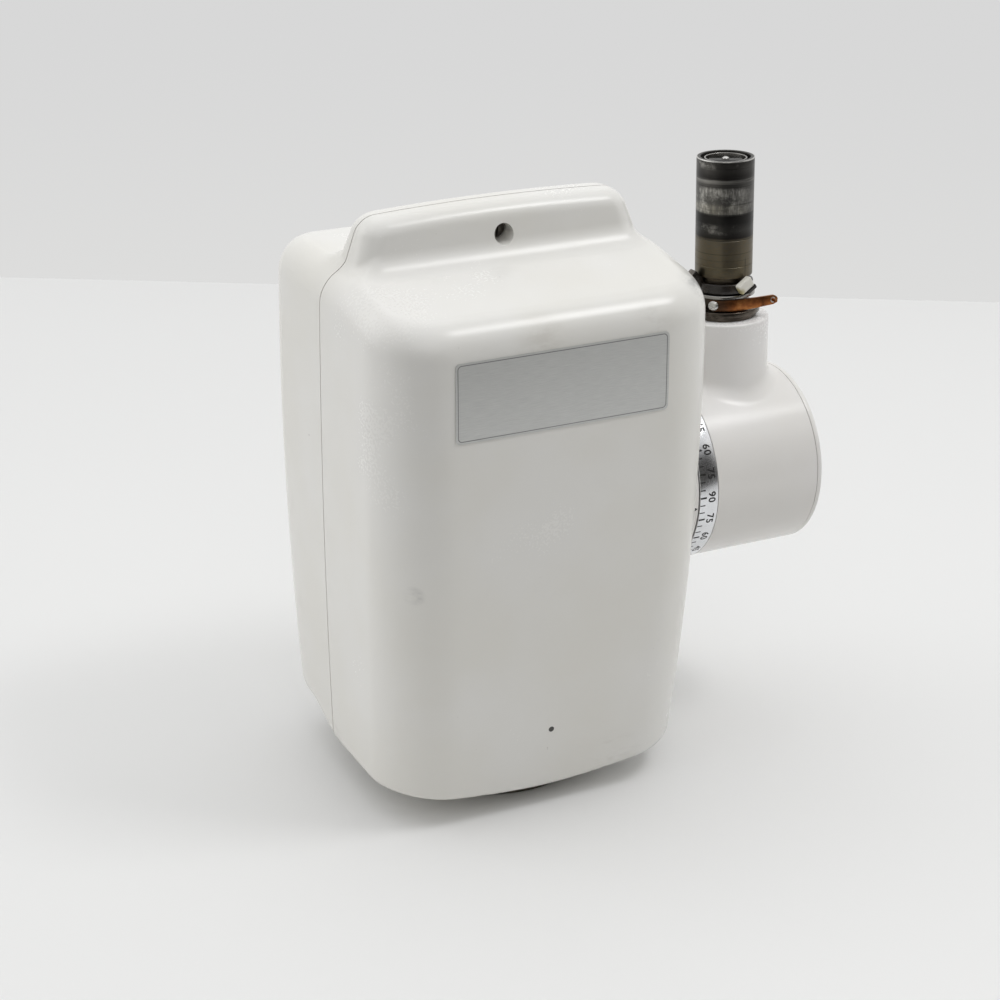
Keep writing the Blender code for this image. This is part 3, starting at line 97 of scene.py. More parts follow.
# %% [markdown]
# ## Camera and studio
#
# The camera looks down at the head from its front left, with a long lens so that the upright
# lines stay nearly parallel. The head stands on a white table top whose far edge crosses the
# picture, with a plain grey wall far behind.

# %% Camera
scene = bpy.context.scene
lens = bpy.data.cameras.new("camera")
lens.lens, lens.sensor_width = 88.97, 36
lens.clip_start, lens.clip_end = 0.05, 30
camera = bpy.data.objects.new("camera", lens)
scene.collection.objects.link(camera)
scene.camera = camera
AZIMUTH, ELEVATION, ROLL = (math.radians(a) for a in (-27.18, 24.34, 1.38))
TARGET = HEAD @ Vector((7.81 * MM, 0, 114.18 * MM))
DISTANCE = 1062.04 * MM
back = Vector((math.sin(AZIMUTH) * math.cos(ELEVATION), -math.cos(AZIMUTH) * math.cos(ELEVATION),
               math.sin(ELEVATION)))
right = (-back).cross(Vector((0, 0, 1))).normalized()
turn = Matrix((right, back.cross(right), back)).transposed() @ Matrix.Rotation(ROLL, 3, "Z")
camera.matrix_world = Matrix.Translation(TARGET + back * DISTANCE) @ turn.to_4x4()
print("camera at", [round(v, 3) for v in camera.matrix_world.translation])

# %% [markdown]
# ## Shader maths as Python
#
# A finish is built from nodes, and sums on sockets are easier to read as sums. Wire wraps one
# socket, so that adding or multiplying two wires adds a Math node. Finish holds a material and
# has one method that makes any node from its type, its settings and its values.

# %% Wire and Finish


class Wire:
    """One output socket that can be written into sums."""

    def __init__(self, finish, socket):
        self.finish, self.socket = finish, socket

    def sum(self, operation, a, b):
        return self.finish.node("ShaderNodeMath", {"operation": operation}, {0: a, 1: b})

    def __add__(self, other):
        return self.sum("ADD", self, other)

    def __mul__(self, other):
        return self.sum("MULTIPLY", self, other)

    def __sub__(self, other):
        return self.sum("SUBTRACT", self, other)

    def __rsub__(self, other):
        return self.sum("SUBTRACT", other, self)

    def highest(self, other):
        return self.sum("MAXIMUM", self, other)

    def size(self):
        return self.sum("ABSOLUTE", self, 0.0)

    def root(self):
        return self.sum("SQRT", self, 0.0)

    __radd__ = __add__
    __rmul__ = __mul__


class Finish:
    """A Principled material, with short ways to make the nodes that feed it."""

    def __init__(self, name, colour, roughness, metallic=0.0, **fixed):
        self.material = bpy.data.materials.new(name)
        self.material.use_nodes = True
        self.tree = self.material.node_tree
        self.shader = self.tree.nodes["Principled BSDF"]
        self.shader.inputs["Base Color"].default_value = (*colour, 1)
        self.shader.inputs["Roughness"].default_value = roughness
        self.shader.inputs["Metallic"].default_value = metallic
        for key, value in fixed.items():
            self.shader.inputs[key.replace("_", " ")].default_value = value

    def node(self, kind, settings=None, values=None, out=0):
        made = self.tree.nodes.new(kind)
        for key, value in (settings or {}).items():
            if key == "stops":
                ramp = made.color_ramp.elements
                while len(ramp) < len(value):
                    ramp.new(0.5)
                for stop, (place, colour) in zip(ramp, value):
                    stop.position, stop.color = place, (*colour, 1)
            else:
                setattr(made, key, value)
        for key, value in (values or {}).items():
            if isinstance(value, Wire):
                self.tree.links.new(value.socket, made.inputs[key])
            else:
                made.inputs[key].default_value = value
        return Wire(self, made.outputs[out])

    def place(self, frame_matrix=None, stretch=(1, 1, 1)):
        """Object coordinates, seen from a working frame and stretched along its axes."""
        spot = self.node("ShaderNodeTexCoord", out="Object")
        if frame_matrix is not None:
            inverse = frame_matrix.inverted()
            spot = self.node("ShaderNodeMapping", None, {
                "Vector": spot, "Location": inverse.translation,
                "Rotation": inverse.to_euler()})
        if stretch != (1, 1, 1):
            spot = self.node("ShaderNodeVectorMath", {"operation": "MULTIPLY"},
                             {0: spot, 1: stretch})
        return spot

    def split(self, vector):
        made = self.node("ShaderNodeSeparateXYZ", None, {0: vector}, "X").socket.node
        return [Wire(self, made.outputs[axis]) for axis in "XYZ"]

    def noise(self, at, scale, detail=2.0, rough=0.5):
        return self.node("ShaderNodeTexNoise", None,
                         {"Vector": at, "Scale": scale, "Detail": detail, "Roughness": rough},
                         "Fac")

    def between(self, value, low, high):
        """0 below low, 1 above high and a soft step from one to the other."""
        return self.node("ShaderNodeMapRange", {"interpolation_type": "SMOOTHSTEP"},
                         {"Value": value, "From Min": low, "From Max": high})

    def near(self, at, point, reach, soft):
        """1 within reach of a point, fading to 0 over soft."""
        away = self.node("ShaderNodeVectorMath", {"operation": "DISTANCE"},
                         {0: at, 1: point}, "Value")
        return 1 - self.between(away, reach, reach + soft)

    def mix(self, share, a, b):
        paint = [(*c, 1) if isinstance(c, tuple) else c for c in (a, b)]
        return self.node("ShaderNodeMix", {"data_type": "RGBA"},
                         {0: share, 6: paint[0], 7: paint[1]}, 2)

    def ramp(self, value, *stops):
        return self.node("ShaderNodeValToRGB", {"stops": stops}, {0: value})

    def feed(self, socket, wire):
        self.tree.links.new(wire.socket, self.shader.inputs[socket])

    def bump(self, height, depth, strength=1.0):
        self.feed("Normal", self.node("ShaderNodeBump", None, {
            "Height": height, "Distance": depth, "Strength": strength}))


print("finishes can be written")

# %% [markdown]
# ## Table, wall and lamps
#
# The light is soft and comes mostly from above and from the left, and the room in front of the
# table is dim, so the front of the head is a shade darker than its side and its deck. The
# camera sees the plain grey wall wherever the table ends. The metal sees a lit ceiling and a
# dim room, because bright metal is only as good as what it mirrors.

# %% Table top
TABLE_EDGE, TABLE_DEPTH, TABLE_WIDTH = 0.585, 1.15, 9
TABLE_TURN = math.radians(0.2)
bpy.ops.object.select_all(action="DESELECT")
bpy.ops.mesh.primitive_plane_add(size=1, location=(0, 0, 0))
table_top = bpy.context.active_object
table_top.name = "table_top"
table_top.scale = (TABLE_WIDTH, TABLE_DEPTH, 1)
table_top.rotation_euler.z = AZIMUTH - TABLE_TURN
table_top.location = Matrix.Rotation(AZIMUTH, 3, "Z") @ Vector(
    (0, TABLE_EDGE - TABLE_DEPTH / 2, 0))
white_top = Finish("table_white", (0.80, 0.80, 0.80), 0.55, Specular_IOR_Level=0.25)
spot = white_top.place()
cloud = white_top.noise(spot, 2.2, 3)
fleck = white_top.between(white_top.noise(spot, 260, 1), 0.79, 0.83)
fleck = fleck * white_top.between(white_top.noise(spot, 9, 2), 0.56, 0.66)
white_top.feed("Base Color", white_top.mix(
    fleck * 0.35, white_top.mix(cloud, (0.795, 0.795, 0.79), (0.83, 0.83, 0.825)),
    (0.35, 0.34, 0.33)))
table_top.data.materials.append(white_top.material)
table_top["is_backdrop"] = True
print("table top edge", TABLE_EDGE, "m behind the head")

# %% World
WALL = (0.81, 0.81, 0.80)
ROOM = (0.05, 0.048, 0.045)
CEILING = (0.62, 0.62, 0.62)
world = bpy.data.worlds.new("studio")
scene.world = world
world.use_nodes = True


class Surround(Finish):
    """The same short ways of making nodes, on the world's tree."""

    def __init__(self, tree):
        self.tree = tree


room = Surround(world.node_tree)
toward = room.node("ShaderNodeTexCoord", out="Generated")
_, north, up = room.split(toward)
height = room.between(up, 0.42, 0.72)
front = room.between(0 - north, -0.25, 0.7)
shade = room.mix(front, WALL, ROOM)
seen_by_light = room.mix(height, shade, CEILING)
seen_by_camera = room.mix(room.between(up, -0.40, -0.22), (0.745, 0.745, 0.735),
                          (0.685, 0.685, 0.685))
ray = room.node("ShaderNodeLightPath", out="Is Camera Ray")
through = room.node("ShaderNodeLightPath", out="Is Transmission Ray")
shown = room.mix(ray.highest(through), seen_by_light, seen_by_camera)
backdrop = world.node_tree.nodes["Background"]
world.node_tree.links.new(shown.socket, backdrop.inputs["Color"])
print("world set")

# %% Lamps
LAMPS_LOOK_AT = Vector((0, 0, 0.12))


def lamp(name, place, size, watts, colour=(1, 1, 1)):
    """A rectangular softbox that faces the middle of the head."""
    data = bpy.data.lights.new(name, "AREA")
    data.shape, data.size, data.size_y = "RECTANGLE", *size
    data.energy, data.color = watts, colour
    made = bpy.data.objects.new(name, data)
    made.matrix_world = Matrix.Translation(place) @ (
        Vector(place) - LAMPS_LOOK_AT).to_track_quat("Z", "Y").to_matrix().to_4x4()
    scene.collection.objects.link(made)
    print(name, "at", place, watts, "W")


lamp("ceiling_softbox", (0.1, 0.1, 1.7), (2.4, 2.0), 9.0, (0.985, 1.0, 1.015))
lamp("key_softbox", (0.6, -0.4, 1.35), (0.36, 0.36), 3.6)
lamp("left_window", (-1.25, 0.85, 0.85), (1.1, 1.2), 4.2)
lamp("front_fill", (-0.5, -1.2, 1.2), (1.0, 0.8), 2.2, (1.0, 0.985, 0.955))
lamp("right_fill", (1.45, -0.75, 0.85), (1.1, 1.1), 1.9, (1.0, 0.985, 0.955))

# %% [markdown]
# ## Modelling by hand, in code
#
# Each helper below does what a hand does: deselect all, add a primitive, select by place, then
# extrude, spin or bisect. Dress puts a finished piece in its frame, gives it its finish and
# lets it ride on its body.

# %% Hands


def deselect():
    if bpy.context.mode != "OBJECT":
        bpy.ops.object.mode_set(mode="OBJECT")
    bpy.ops.object.select_all(action="DESELECT")


def take(piece):
    deselect()
    piece.select_set(True)
    bpy.context.view_layer.objects.active = piece


def edit(piece):
    take(piece)
    bpy.ops.object.mode_set(mode="EDIT")
    bpy.ops.mesh.select_mode(type="VERT")
    bpy.ops.mesh.select_all(action="SELECT")


def leave():
    bpy.ops.object.mode_set(mode="OBJECT")


def named(name):
    made = bpy.context.active_object
    made.name = made.data.name = name
    return made


def points(piece):
    flat = np.empty(len(piece.data.vertices) * 3)
    piece.data.vertices.foreach_get("co", flat)
    return flat.reshape(-1, 3)


def middles(piece, kind):
    """The points of a mesh, or the middles of its edges or faces, and the items themselves."""
    mesh = piece.data
    if kind == "VERT":
        return points(piece), mesh.vertices
    if kind == "EDGE":
        ends = np.empty(len(mesh.edges) * 2, np.int32)
        mesh.edges.foreach_get("vertices", ends)
        return points(piece)[ends.reshape(-1, 2)].mean(axis=1), mesh.edges
    flat = np.empty(len(mesh.polygons) * 3)
    mesh.polygons.foreach_get("center", flat)
    return flat.reshape(-1, 3), mesh.polygons


def choose(piece, kind, test):
    """In edit mode, selects the points, edges or faces whose middles pass a test."""
    bpy.ops.mesh.select_mode(type=kind)
    bpy.ops.mesh.select_all(action="DESELECT")
    leave()
    spots, items = middles(piece, kind)
    items.foreach_set("select", np.ascontiguousarray(test(spots), bool))
    bpy.ops.object.mode_set(mode="EDIT")


def move_points(piece, spots):
    piece.data.vertices.foreach_set("co", np.ascontiguousarray(spots, np.float32).ravel())
    piece.data.update()


def apply(piece, kind, **settings):
    """Adds one modifier, sets it and applies it."""
    take(piece)
    step = piece.modifiers.new(kind.lower(), kind)
    for key, value in settings.items():
        setattr(step, key, value)
    bpy.ops.object.modifier_apply(modifier=step.name)
    return piece


def tidy(piece, turn=True):
    """Doubles merged and, unless told not to, every face turned outwards."""
    edit(piece)
    bpy.ops.mesh.remove_doubles(threshold=1e-6)
    if turn:
        bpy.ops.mesh.select_all(action="SELECT")
        bpy.ops.mesh.normals_make_consistent(inside=False)
    leave()
    return piece


def dress(piece, place, look, body, nodes=(), angle=30):
    """Puts a piece in its frame, gives it its finish and lets it ride on its body."""
    take(piece)
    piece.matrix_world = place
    bpy.ops.object.transform_apply(location=True, rotation=True, scale=True)
    bpy.ops.object.shade_smooth_by_angle(angle=math.radians(angle))
    piece.data.materials.clear()
    piece.data.materials.append(look.material)
    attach(piece, body)
    if nodes:
        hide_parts(*nodes)
    print(piece.name, len(piece.data.polygons), "faces on", body)
    return piece


def eased(corners, closed=True, steps=4):
    """A line through (u, v, radius) corners, each corner with an arc of its radius."""
    line = []
    last = len(corners) - 1
    for i, (u, v, radius) in enumerate(corners):
        here = Vector((u, v))
        if not radius or (not closed and i in (0, last)):
            line.append((u, v))
            continue
        before = (Vector(corners[i - 1][:2]) - here).normalized()
        after = (Vector(corners[(i + 1) % len(corners)][:2]) - here).normalized()
        half = before.angle(after) / 2
        middle = here + (before + after).normalized() * radius / math.sin(half)
        start = here + before * radius / math.tan(half) - middle
        sweep = start.angle_signed(here + after * radius / math.tan(half) - middle)
        for step in range(steps + 1):
            line.append(tuple(middle + Matrix.Rotation(-sweep * step / steps, 2) @ start))
    return line


def turned(name, profile, steps=96):
    """A line of (radius, height) drawn point by point and spun round Z.

    It is closed back to its start unless it starts on the axis.
    """
    deselect()
    bpy.ops.mesh.primitive_plane_add(size=MM)
    piece = named(name)
    edit(piece)
    bpy.ops.mesh.merge(type="CENTER")
    bpy.ops.transform.translate(value=(profile[0][0], 0, profile[0][1]))
    for (r0, h0), (r1, h1) in zip(profile, profile[1:]):
        bpy.ops.mesh.extrude_region_move(TRANSFORM_OT_translate={"value": (r1 - r0, 0, h1 - h0)})
    if profile[0][0] > 1e-7:
        bpy.ops.mesh.extrude_region_move(TRANSFORM_OT_translate={
            "value": (profile[0][0] - profile[-1][0], 0, profile[0][1] - profile[-1][1])})
    bpy.ops.mesh.select_all(action="SELECT")
    bpy.ops.mesh.remove_doubles(threshold=1e-7)
    bpy.ops.mesh.spin(steps=steps, angle=2 * math.pi, center=(0, 0, 0), axis=(0, 0, 1))
    leave()
    return tidy(piece)


def pipe(name, out, bore, low, high, radii, steps):
    """A turned ring. The radii of its edges run from the top outer one down and round."""
    corners = ((out, high), (out, low), (bore, low), (bore, high))
    return turned(name, eased([(*corner, radius * MM)
                               for corner, radius in zip(corners, radii)]), steps)


def block(name, low, high, edge=0.0, segments=3):
    """A cube set to its size, with its edges rounded."""
    deselect()
    low, high = Vector(low), Vector(high)
    bpy.ops.mesh.primitive_cube_add(size=1, location=(low + high) / 2, scale=high - low)
    piece = named(name)
    bpy.ops.object.transform_apply(location=True, rotation=True, scale=True)
    if edge:
        edit(piece)
        bpy.ops.mesh.bevel(offset=edge, segments=segments, affect="EDGES")
        leave()
    return piece


def sheet(name, width, height, place=Matrix()):
    """A flat rectangle round the origin of the place that it is given."""
    deselect()
    bpy.ops.mesh.primitive_plane_add(size=1)
    piece = named(name)
    piece.matrix_world = place @ Matrix.Diagonal((width, height, 1, 1))
    bpy.ops.object.transform_apply(location=True, rotation=True, scale=True)
    return piece


def rod(name, radius, start, end, edge=0.0, sides=48):
    """A cylinder between two points, with its rims rounded."""
    deselect()
    start, end = Vector(start), Vector(end)
    bpy.ops.mesh.primitive_cylinder_add(radius=radius, depth=(end - start).length, vertices=sides)
    piece = named(name)
    if edge:
        edit(piece)
        ends = (end - start).length / 2
        choose(piece, "EDGE", lambda m: abs(abs(m[:, 2]) - ends) < 1e-6)
        bpy.ops.mesh.bevel(offset=edge, segments=3, affect="EDGES")
        leave()
    piece.matrix_world = Matrix.Translation((start + end) / 2) @ (
        end - start).to_track_quat("Z", "Y").to_matrix().to_4x4()
    take(piece)
    bpy.ops.object.transform_apply(location=True, rotation=True, scale=True)
    return piece


def carve(piece, *cutters, operation="DIFFERENCE"):
    """Exact Booleans with pieces that are then thrown away."""
    for cutter in cutters:
        apply(piece, "BOOLEAN", operation=operation, solver="EXACT", object=cutter)
        bpy.data.objects.remove(cutter)
    return piece


def join(piece, *others):
    take(piece)
    for other in others:
        other.select_set(True)
    bpy.ops.object.join()
    return piece


print("hands ready")

# %% [markdown]
# ## Finishes
#
# Each finish starts from one plain colour and gets what handling and making leave on it: the
# satin grain of a mould, smudges, turning marks, worn patches. A few dark marks are painted
# shade instead: a shadow on the elbow's neck, and the seams. Patterns are laid out on object
# coordinates, so they stay put when the piece moves.

# %% Moulded casing plastic


def shell_plastic(name, colour, marks):
    """Warm off-white plastic with a fine satin grain, faint clouds and a few darker marks: smudges, and on the
    elbow a painted shadow with some dirt.
    """
    look = Finish(name, colour, 0.24, Specular_IOR_Level=0.5)
    at = look.place()
    cloud = look.noise(at, 14, 3)
    pale = tuple(min(1.0, c * 1.018) for c in colour)
    warm = (colour[0] * 0.985, colour[1] * 0.978, colour[2] * 0.955)
    paint = look.mix(look.between(cloud, 0.35, 0.65), warm, pale)
    streak = look.noise(look.place(stretch=(0.35, 0.35, 1)), 110, 4, 0.65)
    speck = look.between(look.noise(at, 420, 1), 0.80, 0.83)
    speck = speck * look.between(look.noise(at, 25, 2), 0.52, 0.62)
    paint = look.mix(speck * 0.45, paint, (0.32, 0.31, 0.28))
    for point, reach, soft, strength, tint in marks:
        grime_and_painted_shadow = look.near(at, point, reach, soft) * look.between(streak, 0.42, 0.62)
        paint = look.mix(grime_and_painted_shadow * strength, paint, tint)
    look.feed("Base Color", paint)
    look.feed("Roughness", look.between(cloud, 0.2, 0.8) * 0.06 + look.noise(at, 900, 1) * 0.04
              + 0.20)
    look.bump(look.noise(at, 2600, 1), 0.01 * MM, 0.2)
    return look


def on_head(x, y, z):
    return HEAD @ Vector((x * MM, y * MM, z * MM))


GREY_SMUDGE, DARK_DIRT = (0.30, 0.30, 0.30), (0.16, 0.13, 0.11)
casing = shell_plastic("casing_plastic", (0.80, 0.792, 0.765), [
    (on_head(68, -52, 219), 3 * MM, 8 * MM, 0.75, GREY_SMUDGE),
    (on_head(71, -47, 214), 1.5 * MM, 5 * MM, 0.6, GREY_SMUDGE),
    (on_head(-62, -64, 112), 1.5 * MM, 4 * MM, 0.45, GREY_SMUDGE),
    (on_head(40, -66, 213), 2 * MM, 9 * MM, 0.35, (0.50, 0.47, 0.42)),
    (on_head(-10, -66, 214), 2 * MM, 12 * MM, 0.25, (0.50, 0.47, 0.42)),
    (on_head(-72, 0, 14), 2 * MM, 10 * MM, 0.5, DARK_DIRT),
    (on_head(30, -64, 16), 3 * MM, 14 * MM, 0.25, (0.45, 0.42, 0.36)),
])
# The one mark, on the right of the neck's rim, is a painted shadow of the strap's tail, with some dirt in it.
elbow_white = shell_plastic("elbow_paint", (0.81, 0.797, 0.785), [
    (SPIGOT @ Vector((15.2 * MM, -9.5 * MM, 67 * MM)), 1.5 * MM, 5 * MM, 0.8, (0.36, 0.34, 0.33)),
])
print("white finishes made")

# %% Metals


def turned_metal(name, colour, rough, place, lines, depth=0.006, tint=0.12):
    """Bare metal off a lathe: fine rings round the working frame's Z, and faint staining."""
    look = Finish(name, colour, rough, 1.0)
    rings = look.noise(look.place(place, (0.02, 0.02, 1)), lines, 2, 0.7)
    stain = look.noise(look.place(place), 90, 3, 0.6)
    dark = tuple(c * (1 - tint * 2.2) for c in colour)
    look.feed("Base Color", look.mix(look.between(stain, 0.35, 0.7), colour, dark))
    look.feed("Roughness", rings * 0.12 + stain * 0.12 + (rough - 0.10))
    look.bump(rings, depth * MM, 0.4)
    return look


ring_place = ELBOW @ ALONG_X
dial_metal = turned_metal("dial_aluminium", (0.80, 0.81, 0.83), 0.20, ring_place, 1500, 0.003,
                          0.04)
bright_steel = turned_metal("bright_steel", (0.62, 0.61, 0.59), 0.26, SPIGOT, 1200)
washer_steel = turned_metal("dark_washer_steel", (0.23, 0.21, 0.19), 0.34, SPIGOT, 1200, 0.006,
                            0.3)
washer_grey = turned_metal("washer_grey_steel", (0.36, 0.35, 0.33), 0.24, SPIGOT, 1200)
rim_steel = turned_metal("blackened_washer_steel", (0.14, 0.12, 0.10), 0.26, SPIGOT, 1200, 0.006,
                         0.3)
inner_steel = turned_metal("plain_turned_steel", (0.55, 0.55, 0.54), 0.30, ring_place, 1200)

strap_bronze = Finish("strap_bronze", (0.30, 0.12, 0.04), 0.36, 1.0)
at = strap_bronze.place(SPIGOT)
cloud = strap_bronze.noise(at, 240, 3, 0.6)
mottle = strap_bronze.noise(at, 900, 2, 0.6)
strap_paint = strap_bronze.ramp(cloud, (0.25, (0.07, 0.028, 0.012)), (0.45, (0.24, 0.085, 0.03)),
                                (0.6, (0.36, 0.14, 0.045)), (0.8, (0.52, 0.25, 0.10)))
strap_x = strap_bronze.split(at)[0]
sooty = strap_bronze.between(0 - strap_x, 3 * MM, 8 * MM)
strap_bronze.feed("Base Color", strap_bronze.mix(sooty * 0.8, strap_paint, (0.045, 0.032, 0.024)))
strap_bronze.feed("Roughness", mottle * 0.22 + 0.26)
strap_bronze.bump(mottle, 0.02 * MM, 0.5)
print("metals made")

# %% [markdown]
# ### The worn spigot
#
# The spigot is blackened steel that has turned in its socket for years. Its finish changes with
# height: sooty at the rim, then rubbed bright in bands and patches, then nearly black, and a
# polished olive brown below. One ramp along the axis gives the base colour, and patches of
# stretched noise, each kept to its own band of height, rub it bright.

# %% Spigot steel
spigot_steel = Finish("spigot_steel", (0.08, 0.075, 0.065), 0.35, 1.0)
at = spigot_steel.place(SPIGOT)
sx, sy, sz = spigot_steel.split(at)
RIM = 137.3 * MM
below = RIM - sz
tone = spigot_steel.ramp(
    below * (1 / 0.055),
    (0.00, (0.045, 0.043, 0.040)), (0.06, (0.075, 0.072, 0.068)), (0.12, (0.040, 0.038, 0.036)),
    (0.20, (0.085, 0.082, 0.078)), (0.36, (0.11, 0.107, 0.10)), (0.415, (0.10, 0.097, 0.09)),
    (0.43, (0.028, 0.027, 0.026)), (0.49, (0.030, 0.029, 0.028)), (0.55, (0.06, 0.058, 0.055)),
    (0.61, (0.028, 0.026, 0.024)), (0.63, (0.12, 0.108, 0.085)), (0.74, (0.13, 0.115, 0.085)),
    (0.90, (0.11, 0.098, 0.070)), (0.94, (0.075, 0.062, 0.045)), (1.00, (0.055, 0.045, 0.036)))
scuff = spigot_steel.noise(spigot_steel.place(SPIGOT, (1, 1, 1.3)), 120, 5, 0.72)
fine = spigot_steel.noise(spigot_steel.place(SPIGOT, (1, 1, 5)), 420, 3, 0.6)
scratch = spigot_steel.noise(spigot_steel.place(SPIGOT, (1, 1, 0.16)), 1100, 3, 0.7)
rings = spigot_steel.noise(spigot_steel.place(SPIGOT, (0.05, 0.05, 1)), 520, 3, 0.7)


def height_band(low, high, soft=1.0):
    """1 from low to high millimetres under the rim."""
    return (spigot_steel.between(below, (low - soft) * MM, (low + soft) * MM)
            * (1 - spigot_steel.between(below, (high - soft) * MM, (high + soft) * MM)))


leftward = spigot_steel.between(0 - sx, -6 * MM, 4 * MM)
worn = spigot_steel.between(scratch, 0.36, 0.66) * 0.75 + 0.25
rubbed = spigot_steel.between(scuff, 0.42, 0.62) * worn * height_band(11.8, 22.8)
rubbed = rubbed * (leftward * 0.72 + 0.28)
streaks = spigot_steel.between(rings, 0.46, 0.64) * height_band(7.4, 9.8) * 0.42
smudge = spigot_steel.between(scuff, 0.45, 0.65) * leftward * (
    height_band(0.8, 3.2) * 0.5).highest(height_band(28, 31.5) * 0.42)
bright = rubbed.highest(streaks.highest(smudge))
metal = spigot_steel.mix(bright, tone, (0.46, 0.45, 0.42))
pale = height_band(19, 22.8) * leftward * worn * 0.35
metal = spigot_steel.mix(pale, metal, (0.52, 0.49, 0.40))
crest = height_band(-0.1, 0.4, 0.08) * spigot_steel.between(
    (sx * sx + sy * sy) * (1 / MM / MM), 144.0, 150.0)
scored = spigot_steel.between(rings, 0.44, 0.30) * 0.5
metal = spigot_steel.mix(scored * height_band(0, 35), metal, (0.02, 0.019, 0.018))
brown = spigot_steel.between(fine, 0.35, 0.7) * height_band(34, 52) * 0.45
metal = spigot_steel.mix(brown, metal, (0.16, 0.12, 0.065))
for line, share in ((23.2, 0.7), (34.6, 0.8), (11.2, 0.5), (40.6, 0.5), (43.5, 0.25)):
    metal = spigot_steel.mix(height_band(line - 0.12, line + 0.12, 0.12) * share, metal,
                             (0.012, 0.012, 0.012))
crack = (spigot_steel.between((sx - 3.5 * MM).size(), 0.35 * MM, 0.1 * MM)
         * height_band(43, 51) * spigot_steel.between(sy, 0, -1 * MM) * 0.5)
metal = spigot_steel.mix(crack, metal, (0.02, 0.018, 0.016))
spigot_steel.feed("Base Color", spigot_steel.mix(crest, metal, (0.60, 0.59, 0.57)))
spigot_steel.feed("Roughness", bright * 0.10 + rings * 0.16 + fine * 0.10 + 0.24)
spigot_steel.bump(rings * 0.5 + scuff * 0.5, 0.02 * MM, 0.6)
print("spigot steel made")

# %% Blacks, nylon, label foil and the printed marks


def plain_moulding(name, colour, rough, grain=1400, dust=0.25, pale=(0.12, 0.115, 0.10)):
    """A matt moulding with a fine grain and a little dust."""
    look = Finish(name, colour, rough)
    spots = look.place()
    grains = look.noise(spots, grain, 2)
    look.feed("Base Color", look.mix(look.between(look.noise(spots, 120, 3), 0.45, 0.75) * dust,
                                     colour, pale))
    look.feed("Roughness", grains * 0.18 + (rough - 0.09))
    look.bump(grains, 0.02 * MM, 0.5)
    return look


black = plain_moulding("black_plastic", (0.018, 0.017, 0.016), 0.42)
stop_black = plain_moulding("stop_ring_black", (0.014, 0.011, 0.009), 0.24, 900, 0.35,
                            (0.06, 0.045, 0.03))
collar_black = plain_moulding("collar_plastic", (0.10, 0.092, 0.066), 0.5)
rubber = plain_moulding("rubber", (0.022, 0.022, 0.022), 0.7)
nylon = plain_moulding("natural_nylon", (0.70, 0.68, 0.60), 0.42, 700, 0.55, (0.50, 0.40, 0.16))
# The seams' dark reddish colour: painted shade in the gaps between parts, coloured like dirt.
seam_shade_with_dirt = plain_moulding("dirty_seam_painted_shade", (0.085, 0.045, 0.036), 0.8)
ink = plain_moulding("mark_ink", (0.012, 0.012, 0.012), 0.45, 1400, 0.1)
dot_grey = plain_moulding("dot_grey", (0.065, 0.062, 0.058), 0.35)

LABEL, LABEL_MIDDLE = (94.6 * MM, 33.0 * MM), Vector((-0.9 * MM, -70 * MM, 193.2 * MM))
MARGIN, CORNER = 1.2 * MM, 1.5 * MM
label_foil = Finish("label_foil", (0.62, 0.625, 0.61), 0.36, 0.72)
lx, _, lz = label_foil.split(label_foil.place(
    HEAD @ Matrix.Translation((LABEL_MIDDLE.x, 0, LABEL_MIDDLE.z))))
grain = label_foil.noise(label_foil.place(None, (6, 6, 220)), 26, 3, 0.65)
over_x, over_z = ((across.size() - (length / 2 - MARGIN - CORNER)).highest(0.0)
                  for across, length in zip((lx, lz), LABEL))
edge = (over_x * over_x + over_z * over_z).root() - CORNER
frame_line = label_foil.between(edge, -0.05 * MM, 0.05 * MM) * (
    1 - label_foil.between(edge, 0.30 * MM, 0.40 * MM))
foil = label_foil.mix(label_foil.between(grain, 0.3, 0.7), (0.58, 0.585, 0.575),
                      (0.67, 0.675, 0.66))
label_foil.feed("Base Color", label_foil.mix(frame_line * 0.75, foil, (0.10, 0.10, 0.10)))
label_foil.feed("Roughness", grain * 0.12 + 0.30)
label_foil.bump(grain, 0.01 * MM, 0.3)
print("small finishes made")

# %% Finishes for what the shells hide


def winding_wire(name, pitch):
    """Enamelled copper wire, laid turn on turn along Z."""
    look = Finish(name, (0.55, 0.22, 0.10), 0.32, 1.0)
    spots = look.place(HEAD)
    wave = look.node("ShaderNodeTexWave", {"wave_type": "BANDS", "bands_direction": "Z"},
                     {"Vector": spots, "Scale": 0.314 / pitch, "Distortion": 0.15}, "Fac")
    look.feed("Base Color", look.mix(wave, (0.20, 0.06, 0.025), (0.62, 0.27, 0.12)))
    look.feed("Roughness", look.noise(spots, 400, 2) * 0.2 + 0.22)
    look.bump(wave, 0.2 * MM, 0.6)
    return look


def cast_metal(name, colour, rough, grain, depth):
    """A rough casting, or a dull sheet, with stains and a pitted skin."""
    look = Finish(name, colour, rough, 1.0)
    spots = look.place()
    pits = look.noise(spots, grain, 4, 0.6)
    stain = look.noise(spots, 30, 3)
    look.feed("Base Color", look.mix(look.between(stain, 0.3, 0.75),
                                     tuple(c * 0.72 for c in colour), colour))
    look.feed("Roughness", pits * 0.25 + (rough - 0.12))
    look.bump(pits, depth * MM, 0.6)
    return look


laminations = Finish("core_iron", (0.14, 0.14, 0.15), 0.45, 1.0)
leaf = laminations.node("ShaderNodeTexWave", {"wave_type": "BANDS", "bands_direction": "Y"},
                        {"Vector": laminations.place(HEAD), "Scale": 314.0}, "Fac")
laminations.feed("Base Color", laminations.mix(leaf, (0.05, 0.05, 0.055), (0.20, 0.20, 0.21)))
laminations.feed("Roughness", laminations.noise(laminations.place(), 300, 2) * 0.25 + 0.32)
laminations.bump(leaf, 0.1 * MM, 0.6)

